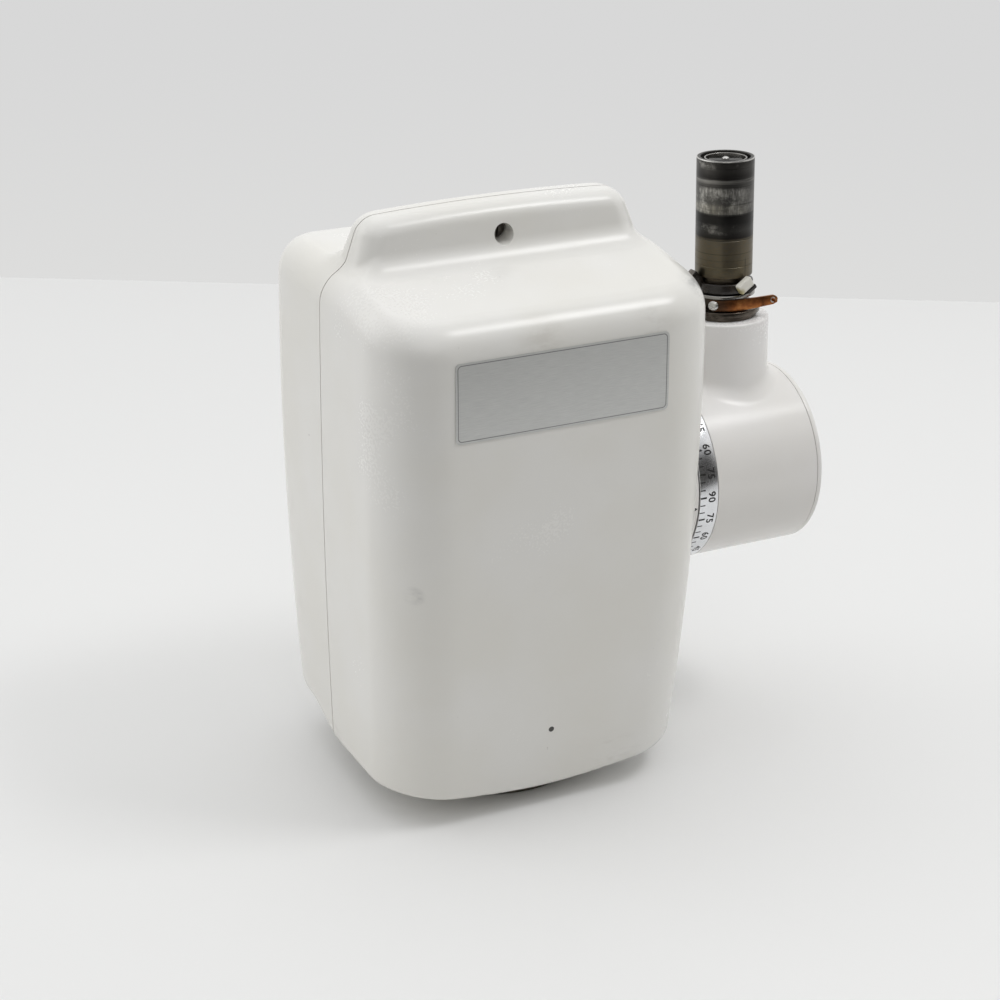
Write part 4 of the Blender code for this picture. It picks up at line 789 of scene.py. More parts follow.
tube_glass = Finish("tube_glass", (0.86, 0.93, 0.90), 0.06, 0.0, Transmission_Weight=0.9)
clouding = tube_glass.noise(tube_glass.place(), 60, 3)
tube_glass.feed("Roughness", clouding * 0.08 + 0.03)
tube_glass.feed("Base Color", tube_glass.mix(clouding, (0.82, 0.90, 0.86), (0.93, 0.97, 0.95)))

INNER = {
    "cast_alloy": cast_metal("cast_alloy", (0.50, 0.50, 0.51), 0.50, 500, 0.08),
    "lead": cast_metal("lead", (0.26, 0.26, 0.28), 0.58, 260, 0.10),
    "copper": winding_wire("copper_winding", 0.9 * MM),
    "core_iron": laminations,
    "tube_glass": tube_glass,
    "bright_steel": inner_steel,
    "dark_steel": washer_steel,
    "spring_bronze": cast_metal("bush_bronze", (0.50, 0.33, 0.15), 0.36, 900, 0.02),
    "black_plastic": black,
    "rubber": rubber,
    "natural_nylon": nylon,
    "casing_plastic": casing,
    "elbow_paint": elbow_white,
    "label_foil": label_foil,
    "dial_aluminium": dial_metal,
}
for part in frame["record"]["subparts"]:
    mesh = frame["nodes"][part["node"]].data
    mesh.materials.clear()
    mesh.materials.append(INNER[part["material_slot"]].material)
anode_copper = cast_metal("anode_copper", (0.60, 0.26, 0.14), 0.30, 1200, 0.02)
frame["nodes"]["anode"].data.materials[0] = anode_copper.material

# %% [markdown]
# ## The casing's form
#
# The real shells are soft injection mouldings: bowed walls, a sloping deck, a ridge along the
# top and a round belly, all run together with generous radii. Bevels on a block can't follow
# radii that change along an edge. So the form is written as one sum of distances instead, where
# two faces meet over a round edge of any radius, and the mesh is pulled onto it. The steps are
# those of shrink-wrapping by hand: a cube is cut into a grid and pulled out onto the form, a
# remesh evens out its faces, and its points are then settled exactly on the form.

# %% Round edges and round hollows as sums


def crossing(a, b, radius):
    """What lies inside both forms, with a round edge between them."""
    return (np.minimum(-radius, np.maximum(a, b))
            + np.hypot(np.maximum(a + radius, 0), np.maximum(b + radius, 0)))


def merging(a, b, radius):
    """What lies inside either form, with a round hollow between them."""
    return (np.maximum(radius, np.minimum(a, b))
            - np.hypot(np.maximum(radius - a, 0), np.maximum(radius - b, 0)))


def easing(value, low, high):
    """0 below low, 1 above high, and smooth between."""
    share = np.clip((value - low) / (high - low), 0, 1)
    return share * share * (3 - 2 * share)


# Each wall: how far out it lies at most, how strongly it is bowed, and at what height it is
# furthest out. All sizes of the form are millimetres.
SIDE, FRONT, REAR = (75.2, 0.129e-3, 210.8), (71.3, 0.438e-3, 133.1), (60.0, 0.404e-3, 192.7)
FRONT_EDGE, REAR_EDGE, DECK_EDGE, RIDGE_EDGE, RIDGE_LIP = 28.0, 20.0, 12.0, 9.0, 6.0
DECK, RIDGE_TOP, RIDGE_ARCH = 229.4, 250.9, 1.3
RIDGE_END, RIDGE_FRONT, RIDGE_REAR = 64.6, 15.5, 12.5
BELLY_MIDDLE, BELLY_RADIUS, SKIRT, SKIRT_HOLLOW = 194.2, 185.0, 15.0, 6.0


def bowed(reach, bow, middle, height):
    """How far out a bowed wall lies at a height."""
    return reach - bow * (height - middle) ** 2


def casing_walls(spots):
    """Signed distances, in millimetres, to the side walls, the nearer flat face and both."""
    x, y, z = (spots / MM).T
    side = np.abs(x) - bowed(*SIDE, z)
    face = np.where(y < 0, -y - bowed(*FRONT, z), y - bowed(*REAR, z))
    return side, face, crossing(side, face, np.where(y < 0, FRONT_EDGE, REAR_EDGE))


def casing_belly(spots):
    """A round belly whose sides run out level, a little above the table."""
    x, y, z = (spots / MM).T
    return merging(np.hypot(x, z - BELLY_MIDDLE) - BELLY_RADIUS, SKIRT - z, SKIRT_HOLLOW)


def casing_form(spots):
    """Signed distance, in millimetres, to the casing, in the head's own frame.

    The deck falls to the front, the back and the ends. The ridge's flanks lean inwards. The
    hollow at the ridge's foot and the round of the lower rim both change on their way round.
    """
    x, y, z = (spots / MM).T
    side, face, walls = casing_walls(spots)
    outward = np.maximum(np.abs(x) - RIDGE_END, 0)
    deck = (DECK - 0.132 * np.maximum(-y - RIDGE_FRONT, 0)
            - 0.03 * np.maximum(y - RIDGE_REAR, 0) - 0.18 * outward)
    body = crossing(walls, z - deck, DECK_EDGE)
    climb = np.maximum(z - DECK, -6)
    ends = (np.abs(x) - RIDGE_END) * 0.951 + climb * 0.309
    slope = np.where(y < 0, (-y - RIDGE_FRONT) * 0.971 + climb * 0.239,
                     (y - RIDGE_REAR) * 0.9885 + climb * 0.152)
    crest_line = RIDGE_TOP - RIDGE_ARCH * (x / 50) ** 2
    ridge = crossing(crossing(ends, slope, RIDGE_EDGE), z - crest_line, RIDGE_LIP)
    ridge = np.maximum(ridge, 212 - z)
    foot = 8.0 - 5.0 * easing(ends - slope, -6, 6)
    rim = 2.0 + (1.5 + 15.0 * easing(y, -6, 30)) * easing(side - face, -25, 15)
    return crossing(merging(body, ridge, foot), casing_belly(spots), rim)


print("form at the origin", round(float(casing_form(np.array([[0.0, 0.0, 0.12]]))[0]), 1), "mm")

# %% Growing a mesh onto a form


def settle(piece, form, depth=0.0):
    """Moves the points along the form's slope until they lie depth millimetres under it."""
    moving = points(piece)
    step = 0.02 * MM
    for _ in range(6):
        value = (form(moving) + depth)[:, None]
        slope = np.stack([form(moving + step * axis) - form(moving - step * axis)
                          for axis in np.eye(3)], axis=1) / (2 * step / MM)
        moving = moving - MM * value * slope / np.maximum((slope ** 2).sum(1), 0.05)[:, None]
    move_points(piece, moving)


def grow(name, form, centre, reach, spacing, cuts=40):
    """A cube cut into a grid, pulled onto the form and remeshed evenly."""
    deselect()
    bpy.ops.mesh.primitive_cube_add(size=2 * reach, location=(0, 0, 0))
    piece = named(name)
    edit(piece)
    bpy.ops.mesh.subdivide(number_cuts=cuts)
    leave()
    spots = points(piece)
    lines = spots / np.linalg.norm(spots, axis=1)[:, None]
    low, high = np.zeros(len(spots)), np.full(len(spots), 2 * reach)
    for _ in range(30):
        middle = (low + high) / 2
        inside = form(centre + lines * middle[:, None]) < 0
        low, high = np.where(inside, middle, low), np.where(inside, high, middle)
    move_points(piece, centre + lines * low[:, None])
    apply(piece, "REMESH", mode="VOXEL", voxel_size=spacing)
    settle(piece, form)
    return piece


def refine(piece, form, test):
    """Smaller faces where the test on a face's points holds, settled on the form again."""
    edit(piece)
    choose(piece, "FACE", test)
    bpy.ops.mesh.subdivide(number_cuts=1)
    leave()
    settle(piece, form)


def slice_off(piece, point, normal):
    """Cuts the piece with a plane and throws away what the normal points at."""
    edit(piece)
    bpy.ops.mesh.bisect(plane_co=point, plane_no=normal, clear_outer=True)
    leave()


def drop_faces(piece, test):
    edit(piece)
    choose(piece, "FACE", test)
    bpy.ops.mesh.delete(type="FACE")
    leave()


def copy_of(piece, name):
    take(piece)
    bpy.ops.object.duplicate()
    return named(name)


casing_body = grow("casing_body", casing_form, np.array([0, 0, 0.12]), 0.09, 1.9 * MM)
refine(casing_body, casing_form,
       lambda m: (m[:, 2] > 222 * MM) & (abs(m[:, 0]) < 74 * MM) & (abs(m[:, 1]) < 30 * MM))
refine(casing_body, casing_form,
       lambda m: (casing_belly(m) > -8) & (casing_walls(m)[2] > -8))
print("casing body", len(casing_body.data.polygons), "faces")

# %% [markdown]
# ### From one form to two shells
#
# The two shells are mouldings with a thin wall, so the closed form gets its holes first: the
# round port for the cone collar, the round seat of the elbow's flange, and the screw's hole in
# the ridge. The form is then cut at the parting plane, and Solidify grows each half a wall
# inwards. A thin dark reddish sheet lies in the gap, a little under the surface: painted shade
# in the seam, coloured like dirt.

# %% Holes in the casing
PORT_Y, SCREW_Z, AXIS_Z = -8.0 * MM, 238.9 * MM, hinge.z
PORT_HOLE, SEAT_HOLE, WALL_THICK = 44.6 * MM, 40.3 * MM, 2.6 * MM
SLACK = 0.01 * MM
port = rod("port", PORT_HOLE, (0, PORT_Y, -10 * MM), (0, PORT_Y, 30 * MM), sides=160)
boss = rod("boss", SEAT_HOLE, (60 * MM, 0, AXIS_Z), (90 * MM, 0, AXIS_Z), sides=160)
screw_way = rod("screw_way", 4.3 * MM, (0, -30 * MM, SCREW_Z), (0, -4 * MM, SCREW_Z), sides=64)
carve(casing_body, port, boss, screw_way)
drop_faces(casing_body, lambda m: (m[:, 2] < 30.01 * MM)
           & (np.hypot(m[:, 0], m[:, 1] - PORT_Y) < PORT_HOLE - SLACK))
drop_faces(casing_body, lambda m: (m[:, 0] > 59.9 * MM)
           & (np.hypot(m[:, 1], m[:, 2] - AXIS_Z) < SEAT_HOLE - SLACK))
print("holes cut,", len(casing_body.data.polygons), "faces left")

# %% Two shells and the dark sheet of painted shade in the seam
front_shell = copy_of(casing_body, "front_shell_moulding")
rear_shell = copy_of(casing_body, "rear_shell_moulding")
# The seam piece is a dark sheet just under the gap between the shells: painted shade, coloured like dirt.
seam = casing_body
seam.name = seam.data.name = "seam_shade_sheet"
slice_off(front_shell, (0, -0.27 * MM, 0), (0, 1, 0))
slice_off(rear_shell, (0, 0.27 * MM, 0), (0, -1, 0))
slice_off(seam, (0, 0.22 * MM, 0), (0, 1, 0))
slice_off(seam, (0, -0.22 * MM, 0), (0, -1, 0))
settle(seam, casing_form, depth=0.35)
for piece, thick in ((front_shell, WALL_THICK), (rear_shell, WALL_THICK), (seam, 1.8 * MM)):
    tidy(piece, turn=False)
    apply(piece, "SOLIDIFY", thickness=thick, offset=-1, use_even_offset=False)
dress(front_shell, HEAD, casing, "head", ("front_shell",), 35)
dress(rear_shell, HEAD, casing, "head", ("rear_shell",), 35)
dress(seam, HEAD, seam_shade_with_dirt, "head")

# %% [markdown]
# ## Small pieces on the casing
#
# The label plate is a thin foil plate that follows the bow of the front. It is cut flat, sliced
# across so that it can bend, and settled on the casing's form before it gets its thickness. The
# plate is bare: it only keeps its size, its place and the thin line round its edge. The screw
# lies at the bottom of its hole in the ridge.

# %% Sizes read off the CAD


def gauge(node, place):
    """Outer and inner radius, and lowest and highest point, seen from a working frame."""
    spots = points(frame["nodes"][node])
    turn = np.array(place.inverted())
    spots = spots @ turn[:3, :3].T + turn[:3, 3]
    away = np.hypot(spots[:, 0], spots[:, 1])
    return away.max(), away.min(), spots[:, 2].min(), spots[:, 2].max()


SWIVEL = ELBOW @ ALONG_X
SEAT_SIDE = Matrix.Translation((head_x, hinge.y, hinge.z)) @ ALONG_X
PORT = HEAD @ Matrix.Translation((0, PORT_Y, 0))
print("collar", [round(v / MM, 2) for v in gauge("cone_collar", PORT)])

# %% Label plate
LABEL_CUTS = 12
label = sheet("label_foil_plate", *LABEL, Matrix.Translation(LABEL_MIDDLE)
              @ Matrix.Rotation(math.pi / 2, 4, "X"))
edit(label)
bpy.ops.mesh.bevel(offset=2 * MM, segments=8, affect="VERTICES")
for step in range(1, LABEL_CUTS):
    bpy.ops.mesh.select_all(action="SELECT")
    bpy.ops.mesh.bisect(plane_no=(0, 0, 1), plane_co=(
        0, 0, LABEL_MIDDLE.z + LABEL[1] * (step / LABEL_CUTS - 0.5)))
leave()
settle(label, casing_form, depth=-0.05)
apply(label, "SOLIDIFY", thickness=0.3 * MM, offset=1)
dress(label, HEAD, label_foil, "head", ("label_plate",))

# %% Indicator dot
DOT_Z = 38.2 * MM
DOT_Y = -bowed(*FRONT, DOT_Z / MM) * MM
dot = rod("indicator_dot", 1.25 * MM, (0, DOT_Y + 0.6 * MM, DOT_Z),
          (0, DOT_Y - 0.12 * MM, DOT_Z), edge=0.1 * MM)
dress(dot, HEAD, dot_grey, "head")

# %% Casing screw
HEAD_FACES_FRONT = (HEAD @ Matrix.Translation((0, 0, SCREW_Z))
                    @ Matrix.Rotation(math.pi / 2, 4, "X"))
head_radius, _, screw_low, screw_high = gauge("case_screw", HEAD_FACES_FRONT)
screw = turned("casing_screw", eased([
    (0, screw_high, 0), (head_radius * 0.55, screw_high, 0.8 * MM),
    (head_radius, screw_high - 0.7 * MM, 0.5 * MM), (head_radius, screw_high - 2.4 * MM, 0),
    (1.9 * MM, screw_high - 2.4 * MM, 0), (1.9 * MM, screw_low, 0), (0, screw_low, 0)],
    closed=False), 64)
carve(screw, block("slot", (-0.5 * MM, -5 * MM, screw_high - 1.1 * MM),
                   (0.5 * MM, 5 * MM, screw_high + 1 * MM)))
dress(screw, HEAD_FACES_FRONT, washer_steel, "head", ("case_screw",))

# %% [markdown]
# ## Cone collar
#
# The collar is a turned black moulding that stands on the table here. A cone for the beam is
# pushed into its socket in use. Its outline is drawn once, from the flange inside the shells
# down the outer wall, round the mouth and up the socket, and spun round the beam's axis.

# %% Collar profile, spun
COLLAR = 44.0 * MM
flange_radius, bore, _, collar_top = gauge("cone_collar", PORT)
SOCKET, SOCKET_FLOOR = 33.0 * MM, 22.0 * MM
collar = turned("cone_collar_moulding", eased([
    (flange_radius, collar_top, 0.5 * MM), (flange_radius, collar_top - 5 * MM, 0.5 * MM),
    (COLLAR, collar_top - 5 * MM, 0.8 * MM), (COLLAR, 6.3 * MM, 0.2 * MM),
    (COLLAR - 0.7 * MM, 5.9 * MM, 0.2 * MM), (COLLAR - 0.7 * MM, 5.1 * MM, 0.2 * MM),
    (COLLAR, 4.7 * MM, 0.2 * MM), (COLLAR, 0, 1.2 * MM), (SOCKET + 1 * MM, 0, 0.4 * MM),
    (SOCKET, 1.2 * MM, 0.4 * MM), (SOCKET, SOCKET_FLOOR, 0.5 * MM),
    (bore, SOCKET_FLOOR, 0.3 * MM), (bore, collar_top, 0)]), 160)
dress(collar, PORT, collar_black, "head", ("cone_collar",))

# %% [markdown]
# ## Swivel flange, dial ring and cap
#
# These are lathe work on the real head too, so each one is a profile of radius and height that
# is spun about the elbow's axis. The profile is written with a radius at each corner, and eased
# turns each corner into a short arc, because a real turned edge always catches a line of light.

# %% Flange on the head
flange_out, _, cup_low, flange_face = gauge("swivel_flange", SEAT_SIDE)
CUP_FLOOR = flange_face - 13.5 * MM
flange = turned("swivel_flange_casting", eased([
    (flange_out, flange_face, 0.8 * MM), (flange_out, CUP_FLOOR + 1 * MM, 0.3 * MM),
    (38 * MM, CUP_FLOOR + 1 * MM, 0.5 * MM), (38 * MM, cup_low, 0.5 * MM),
    (31 * MM, cup_low, 0.5 * MM), (31 * MM, CUP_FLOOR, 0.5 * MM),
    (17.2 * MM, CUP_FLOOR, 0.3 * MM), (17.2 * MM, flange_face, 0.3 * MM),
    (22.7 * MM, flange_face, 0.2 * MM), (22.7 * MM, flange_face - 4 * MM, 0.3 * MM),
    (29.3 * MM, flange_face - 4 * MM, 0.3 * MM), (29.3 * MM, flange_face, 0.2 * MM)]), 160)
for turn_by in (30, 150, 270):
    y, z = (34.5 * MM * f(math.radians(turn_by)) for f in (math.cos, math.sin))
    carve(flange, rod("way", 3.5 * MM, (-z, y, flange_face - 4.3 * MM),
                      (-z, y, flange_face + 2 * MM), sides=40))
dress(flange, SEAT_SIDE, elbow_white, "head", ("swivel_flange",))

# %% Dial ring
dial_out, dial_bore, dial_low, dial_high = gauge("dial_ring", SWIVEL)
dial = pipe("graduated_dial", dial_out, dial_bore, dial_low, dial_high,
            (0.12, 0.3, 0.2, 0.2), 288)
dress(dial, SWIVEL, dial_metal, "elbow", ("dial_ring",))

# %% Elbow cap, and painted shade with dirt in its seam
cap_out, _, cap_low, cap_high = gauge("elbow_cap", SWIVEL)
CAP_SKIRT = 35.7 * MM
cap_seat = cap_high - 2.7 * MM
cap = turned("elbow_end_cap", eased([
    (0, cap_high, 0), (cap_out - 9 * MM, cap_high, 30 * MM),
    (cap_out, cap_high - 0.25 * MM, 1.1 * MM), (cap_out, cap_seat, 0.15 * MM),
    (CAP_SKIRT, cap_seat, 0), (CAP_SKIRT, cap_low, 0.4 * MM),
    (CAP_SKIRT - 2.2 * MM, cap_low, 0.4 * MM), (CAP_SKIRT - 2.2 * MM, cap_seat, 0.3 * MM),
    (0, cap_seat, 0)], closed=False), 160)
dress(cap, SWIVEL, elbow_white, "elbow", ("elbow_cap",))
# A dark ring just under the gap between cap and barrel: painted shade, coloured like dirt.
seam_ring = pipe("cap_seam_shade_and_dirt", cap_out - 0.25 * MM, cap_out - 3.5 * MM,
                 cap_seat - 0.26 * MM, cap_seat - 0.04 * MM, (0, 0, 0, 0), 160)
dress(seam_ring, SWIVEL, seam_shade_with_dirt, "elbow")

# %% [markdown]
# ## Elbow housing
#
# The elbow is a hollow casting: a barrel lying on the swivel axis with a neck standing on it,
# run together by a soft fillet. It is grown like the casing, longer than needed at each end and
# then cut to length. Its open rims are drawn inwards by extruding and scaling them, which makes
# the bearing boss on one side and the hollow for the cable on the other. The neck's rim is the
# last open edge, so it is found as such, laid flat and rounded over. The neck's bore goes in
# last, as a Boolean.

# %% Barrel and neck
BARREL, NECK = cap_out, 20.0 * MM
BARREL_START, BARREL_END = dial_high + 0.3 * MM, cap_seat - 0.3 * MM
NECK_TOP = 67.3 * MM


def elbow_form(spots):
    """Signed distance, in millimetres, to the elbow, in its upright frame."""
    x, y, z = (spots / MM).T
    middle, neck_x = (BARREL_START + BARREL_END) / 2 / MM, NECK_X / MM
    barrel = crossing(np.hypot(y, z) - BARREL / MM, abs(x - middle) - 30, 2)
    neck = crossing(np.hypot(x - neck_x, y) - NECK / MM, abs(z - 40) - 32, 2)
    return merging(barrel, neck, 5)


def draw_rim(*steps, centre=(0, 0, 0)):
    """Extrudes the selected rim along a line of (move, scale) steps."""
    for move, scale in steps:
        bpy.ops.mesh.extrude_region_move(TRANSFORM_OT_translate={"value": move})
        bpy.ops.transform.resize(value=scale, center_override=centre)


def squeeze(new, old):
    return (1, new / old, new / old)


housing = grow("elbow_casting", elbow_form,
               np.array([NECK_X, 0, 10 * MM]), 0.04, 1.15 * MM, 36)
slice_off(housing, (BARREL_START, 0, 0), (-1, 0, 0))
slice_off(housing, (BARREL_END, 0, 0), (1, 0, 0))
slice_off(housing, (0, 0, NECK_TOP - 0.9 * MM), (0, 0, 1))
BOSS, WEB, SHAFT_WAY, CAVITY = 36.2 * MM, 96 * MM, 15.0 * MM, 36.0 * MM
BOSS_END = dial_high - 7.2 * MM
edit(housing)
choose(housing, "EDGE", lambda m: abs(m[:, 0] - BARREL_START) < 1e-6)
draw_rim(((0, 0, 0), squeeze(BARREL - 0.1 * MM, BARREL)),
         ((0, 0, 0), squeeze(BOSS, BARREL - 0.1 * MM)),
         ((BOSS_END - BARREL_START + 0.3 * MM, 0, 0), (1, 1, 1)),
         ((-0.3 * MM, 0, 0), squeeze(BOSS - 0.3 * MM, BOSS)),
         ((0, 0, 0), squeeze(SHAFT_WAY, BOSS - 0.3 * MM)),
         ((WEB - BOSS_END - 2 * MM, 0, 0), (1, 1, 1)))
choose(housing, "EDGE", lambda m: abs(m[:, 0] - BARREL_END) < 1e-6)
draw_rim(((0.12 * MM, 0, 0), squeeze(BARREL - 0.25 * MM, BARREL)),
         ((0, 0, 0), squeeze(CAVITY, BARREL - 0.25 * MM)),
         ((WEB - BARREL_END - 0.12 * MM, 0, 0), (1, 1, 1)),
         ((0, 0, 0), squeeze(SHAFT_WAY, CAVITY)))
inner_rims = lambda m: (np.hypot(m[:, 1], m[:, 2]) < SHAFT_WAY + 0.02 * MM) & (
    (abs(m[:, 0] - WEB) < 1e-6) | (abs(m[:, 0] - WEB + 2 * MM) < 1e-6))
choose(housing, "EDGE", inner_rims)
bpy.ops.mesh.bridge_edge_loops()
bpy.ops.mesh.select_all(action="DESELECT")
bpy.ops.mesh.select_non_manifold()
pivot = (NECK_X, 0, NECK_TOP - 0.9 * MM)
bpy.ops.transform.resize(value=(1, 1, 0), center_override=pivot)
rounding = [(0.9, 20.0), (0.55, 19.93), (0.26, 19.74), (0.07, 19.45), (0.0, 19.1)]
for (drop, reach), (next_drop, next_reach) in zip(rounding, rounding[1:]):
    share = next_reach / reach
    draw_rim(((0, 0, (drop - next_drop) * MM), (share, share, 1)), centre=pivot)
bpy.ops.mesh.edge_face_add()
leave()
tidy(housing)
carve(housing,
      rod("bore", 14 * MM, (NECK_X, 0, 18 * MM), (NECK_X, 0, 80 * MM), sides=96),
      rod("pin_way", 2.8 * MM, (80 * MM, 0, 26 * MM), (100 * MM, 0, 26 * MM), sides=32))
dress(housing, ELBOW, elbow_white, "elbow", ("elbow_housing",), 35)

# %% [markdown]
# ## Dial marks
#
# The ring is graduated in degrees, like any tilt scale: a short line every 5 degrees, a longer
# and bolder one every 15, and numbers that count from 0 to 90 and back. One line of each kind is
# modelled flat and thin, bent onto the ring, and copied round it. The numbers are text made into
# mesh, and wrapped in the same way: what was across the text runs round the ring, and what was
# up runs along the axis.

# %% Wrapping flat marks round the ring
MARK_THICK = 0.03 * MM


def wrap(piece, middle, angle):
    """Lays a flat piece on the ring: its x runs down the front, its y along the axis."""
    spots = points(piece)
    turn = angle - spots[:, 0] / dial_out
    away = dial_out + spots[:, 2]
    move_points(piece, np.stack([middle + spots[:, 1], -away * np.cos(turn),
                                 away * np.sin(turn)], axis=1))


def tick(name, start, end, width):
    line = block(name, (-width / 2, start, -0.01 * MM), (width / 2, end, MARK_THICK))
    edit(line)
    bpy.ops.mesh.bisect(plane_co=(0, 0, 0), plane_no=(1, 0, 0))
    leave()
    return line


ZERO_TURN, INDEX_TURN = math.radians(-91.0), math.radians(-3.0)
RING_MIDDLE = (dial_low + dial_high) / 2
TICK_DEGREES, NUMBER_DEGREES = 5, 15
marks = []
for step in range(360 // TICK_DEGREES):
    long_one = step * TICK_DEGREES % NUMBER_DEGREES == 0
    line = tick(f"tick_{step}", -4.3 * MM, -1.3 * MM if long_one else -1.8 * MM,
                0.85 * MM if long_one else 0.5 * MM)
    wrap(line, RING_MIDDLE, ZERO_TURN + math.radians(step * TICK_DEGREES))
    marks.append(line)
ticks = join(*marks)
ticks.name = ticks.data.name = "dial_ticks"
dress(ticks, ELBOW, ink, "elbow")

# %% Numbers round the ring
NUMBER_HEIGHT = 3.3 * MM


def number(value):
    deselect()
    bpy.ops.object.text_add()
    text = bpy.context.active_object
    text.data.body = str(value)
    text.data.align_x, text.data.align_y = "CENTER", "CENTER"
    text.data.size = NUMBER_HEIGHT / 0.70
    text.data.offset = 0.12 * MM
    text.data.extrude = MARK_THICK / 2
    text.data.resolution_u = 5
    text.data.space_character = 1.12
    bpy.ops.object.convert(target="MESH")
    made = named(f"number_{value}")
    spots = points(made)
    spots[:, 1] -= (spots[:, 1].min() + spots[:, 1].max()) / 2
    spots[:, 2] += MARK_THICK / 2 - 0.01 * MM
    move_points(made, spots)
    return tidy(made, turn=False)


numbers = []
for turned_by in range(0, 360, NUMBER_DEGREES):
    value = 90 - abs(turned_by % 180 - 90)
    digits = number(value)
    wrap(digits, RING_MIDDLE + 1.35 * MM, ZERO_TURN + math.radians(turned_by))
    numbers.append(digits)
figures = join(*numbers)
figures.name = figures.data.name = "dial_numbers"
dress(figures, ELBOW, ink, "elbow")

# %% Index mark on the flange
deselect()
bpy.ops.mesh.primitive_cylinder_add(vertices=3, radius=0.95 * MM, depth=MARK_THICK,
                                    location=(0, 0, MARK_THICK / 2 - 0.01 * MM))
index = named("index_mark")
bpy.ops.object.transform_apply(location=True, rotation=True, scale=True)
wrap(index, flange_face - 1.6 * MM, INDEX_TURN)
dress(index, Matrix.Translation((head_x, hinge.y, hinge.z)), ink, "head")

# %% [markdown]
# ## Spigot and its ironmongery
#
# The spigot stands in the neck on a washer. Round its waist lie a bronze brake strap with a
# free end, a second washer, and a black stop ring with an ear and a nylon block. All of them are
# modelled upright round the spigot's own axis. Most are lathe work again. The strap is cut from
# sheet: a flat strip, rounded at its end, is laid along its path and given its thickness.

# %% Spigot tube
tube_out, shank_bore, shank_low, RIM_HEIGHT = gauge("spigot_tube", SPIGOT)
seat_low = gauge("lower_washer", SPIGOT)[2]
SHOULDER, SEAT_R, SHANK_R, TUBE_BORE = 85.6 * MM, 11.0 * MM, 10.0 * MM, tube_out - 1.7 * MM
groove_at = [RIM_HEIGHT - 34.7 * MM, SHOULDER + 5.2 * MM]
outline = [(tube_out - 0.1 * MM, RIM_HEIGHT, 0), (tube_out, RIM_HEIGHT - 0.35 * MM, 0.3 * MM)]
for level in groove_at:
    outline += [(tube_out, level + 0.16 * MM, 0), (tube_out - 0.14 * MM, level, 0),
                (tube_out, level - 0.16 * MM, 0)]
outline += [
    (tube_out, SHOULDER, 0.6 * MM), (SEAT_R, SHOULDER, 0.3 * MM), (SEAT_R, seat_low, 0),
    (SHANK_R, seat_low, 0), (SHANK_R, shank_low + 3.4 * MM, 0),
    (SHANK_R - 1.2 * MM, shank_low + 3.4 * MM, 0), (SHANK_R - 1.2 * MM, shank_low + 1.4 * MM, 0),
    (SHANK_R, shank_low + 1.4 * MM, 0), (SHANK_R, shank_low, 0.5 * MM),
    (shank_bore, shank_low, 0), (shank_bore, 90 * MM, 0), (TUBE_BORE, 96 * MM, 0),
    (TUBE_BORE, RIM_HEIGHT, 0.25 * MM)]
tube = turned("spigot_steel_tube", eased(outline), 192)
dress(tube, SPIGOT, spigot_steel, "spigot", ("spigot_tube",))

# %% Washers and the stop ring


def washer(name, node, look, rim, crown, step=0.0, lift=0.0):
    """A washer with rounded rims, a little crowned, on a narrower foot where it has a step."""
    out, bore, low, high = gauge(node, SPIGOT)
    high += lift
    made = turned(name, eased([
        (out, high - crown, rim), (out, low + step + 0.4 * MM, rim / 2),
        (out - step, low + step, 0), (out - step, low, 0), (bore, low, 0.1 * MM),
        (bore, high, 0.1 * MM)]), 144)
    return dress(made, SPIGOT, look, "spigot", (node,))


washer("lower_steel_washer", "lower_washer", rim_steel, 0.4 * MM, 0.1 * MM,
       1.5 * MM, 1.3 * MM)
washer("upper_steel_washer", "upper_washer", washer_grey, 0.5 * MM, 0.3 * MM)

stop_low, stop_high = gauge("upper_washer", SPIGOT)[3] + 0.3 * MM, SHOULDER - 2.3 * MM
STOP_R = 12.9 * MM
stop = pipe("stop_ring_body", STOP_R, SEAT_R + 0.3 * MM, stop_low, stop_high,
            (0.4, 0.4, 0, 0), 144)
EAR_TURN = Matrix.Rotation(math.radians(180 + 48), 4, "Y")
EAR_LENGTH, EAR_HALF = 7.3 * MM, 1.7 * MM
ear = block("ear", (0, -2.4 * MM, -EAR_HALF), (EAR_LENGTH, 2.4 * MM, EAR_HALF), 0.25 * MM)
EAR_PLACE = Matrix.Translation((-STOP_R + 1.4 * MM, 0, stop_low + 3.2 * MM)) @ EAR_TURN
ear.matrix_world = EAR_PLACE
BLOCK_RISE = math.radians(31)
BLOCK_PLACE = Matrix.Rotation(math.radians(-83), 4, "Z") @ Matrix.Translation(
    (STOP_R, 0, stop_low + 4.1 * MM)) @ Matrix.Rotation(BLOCK_RISE, 4, "X")
ledge = block("ledge", (-0.8 * MM, -0.6 * MM, -4.2 * MM), (3.4 * MM, 4.2 * MM, -2.4 * MM),
              0.25 * MM)
ledge.matrix_world = BLOCK_PLACE
for piece in (ear, ledge):
    take(piece)
    bpy.ops.object.transform_apply(location=True, rotation=True, scale=True)
carve(stop, ear, ledge, operation="UNION")
dress(stop, SPIGOT, stop_black, "spigot", ("stop_ring",))

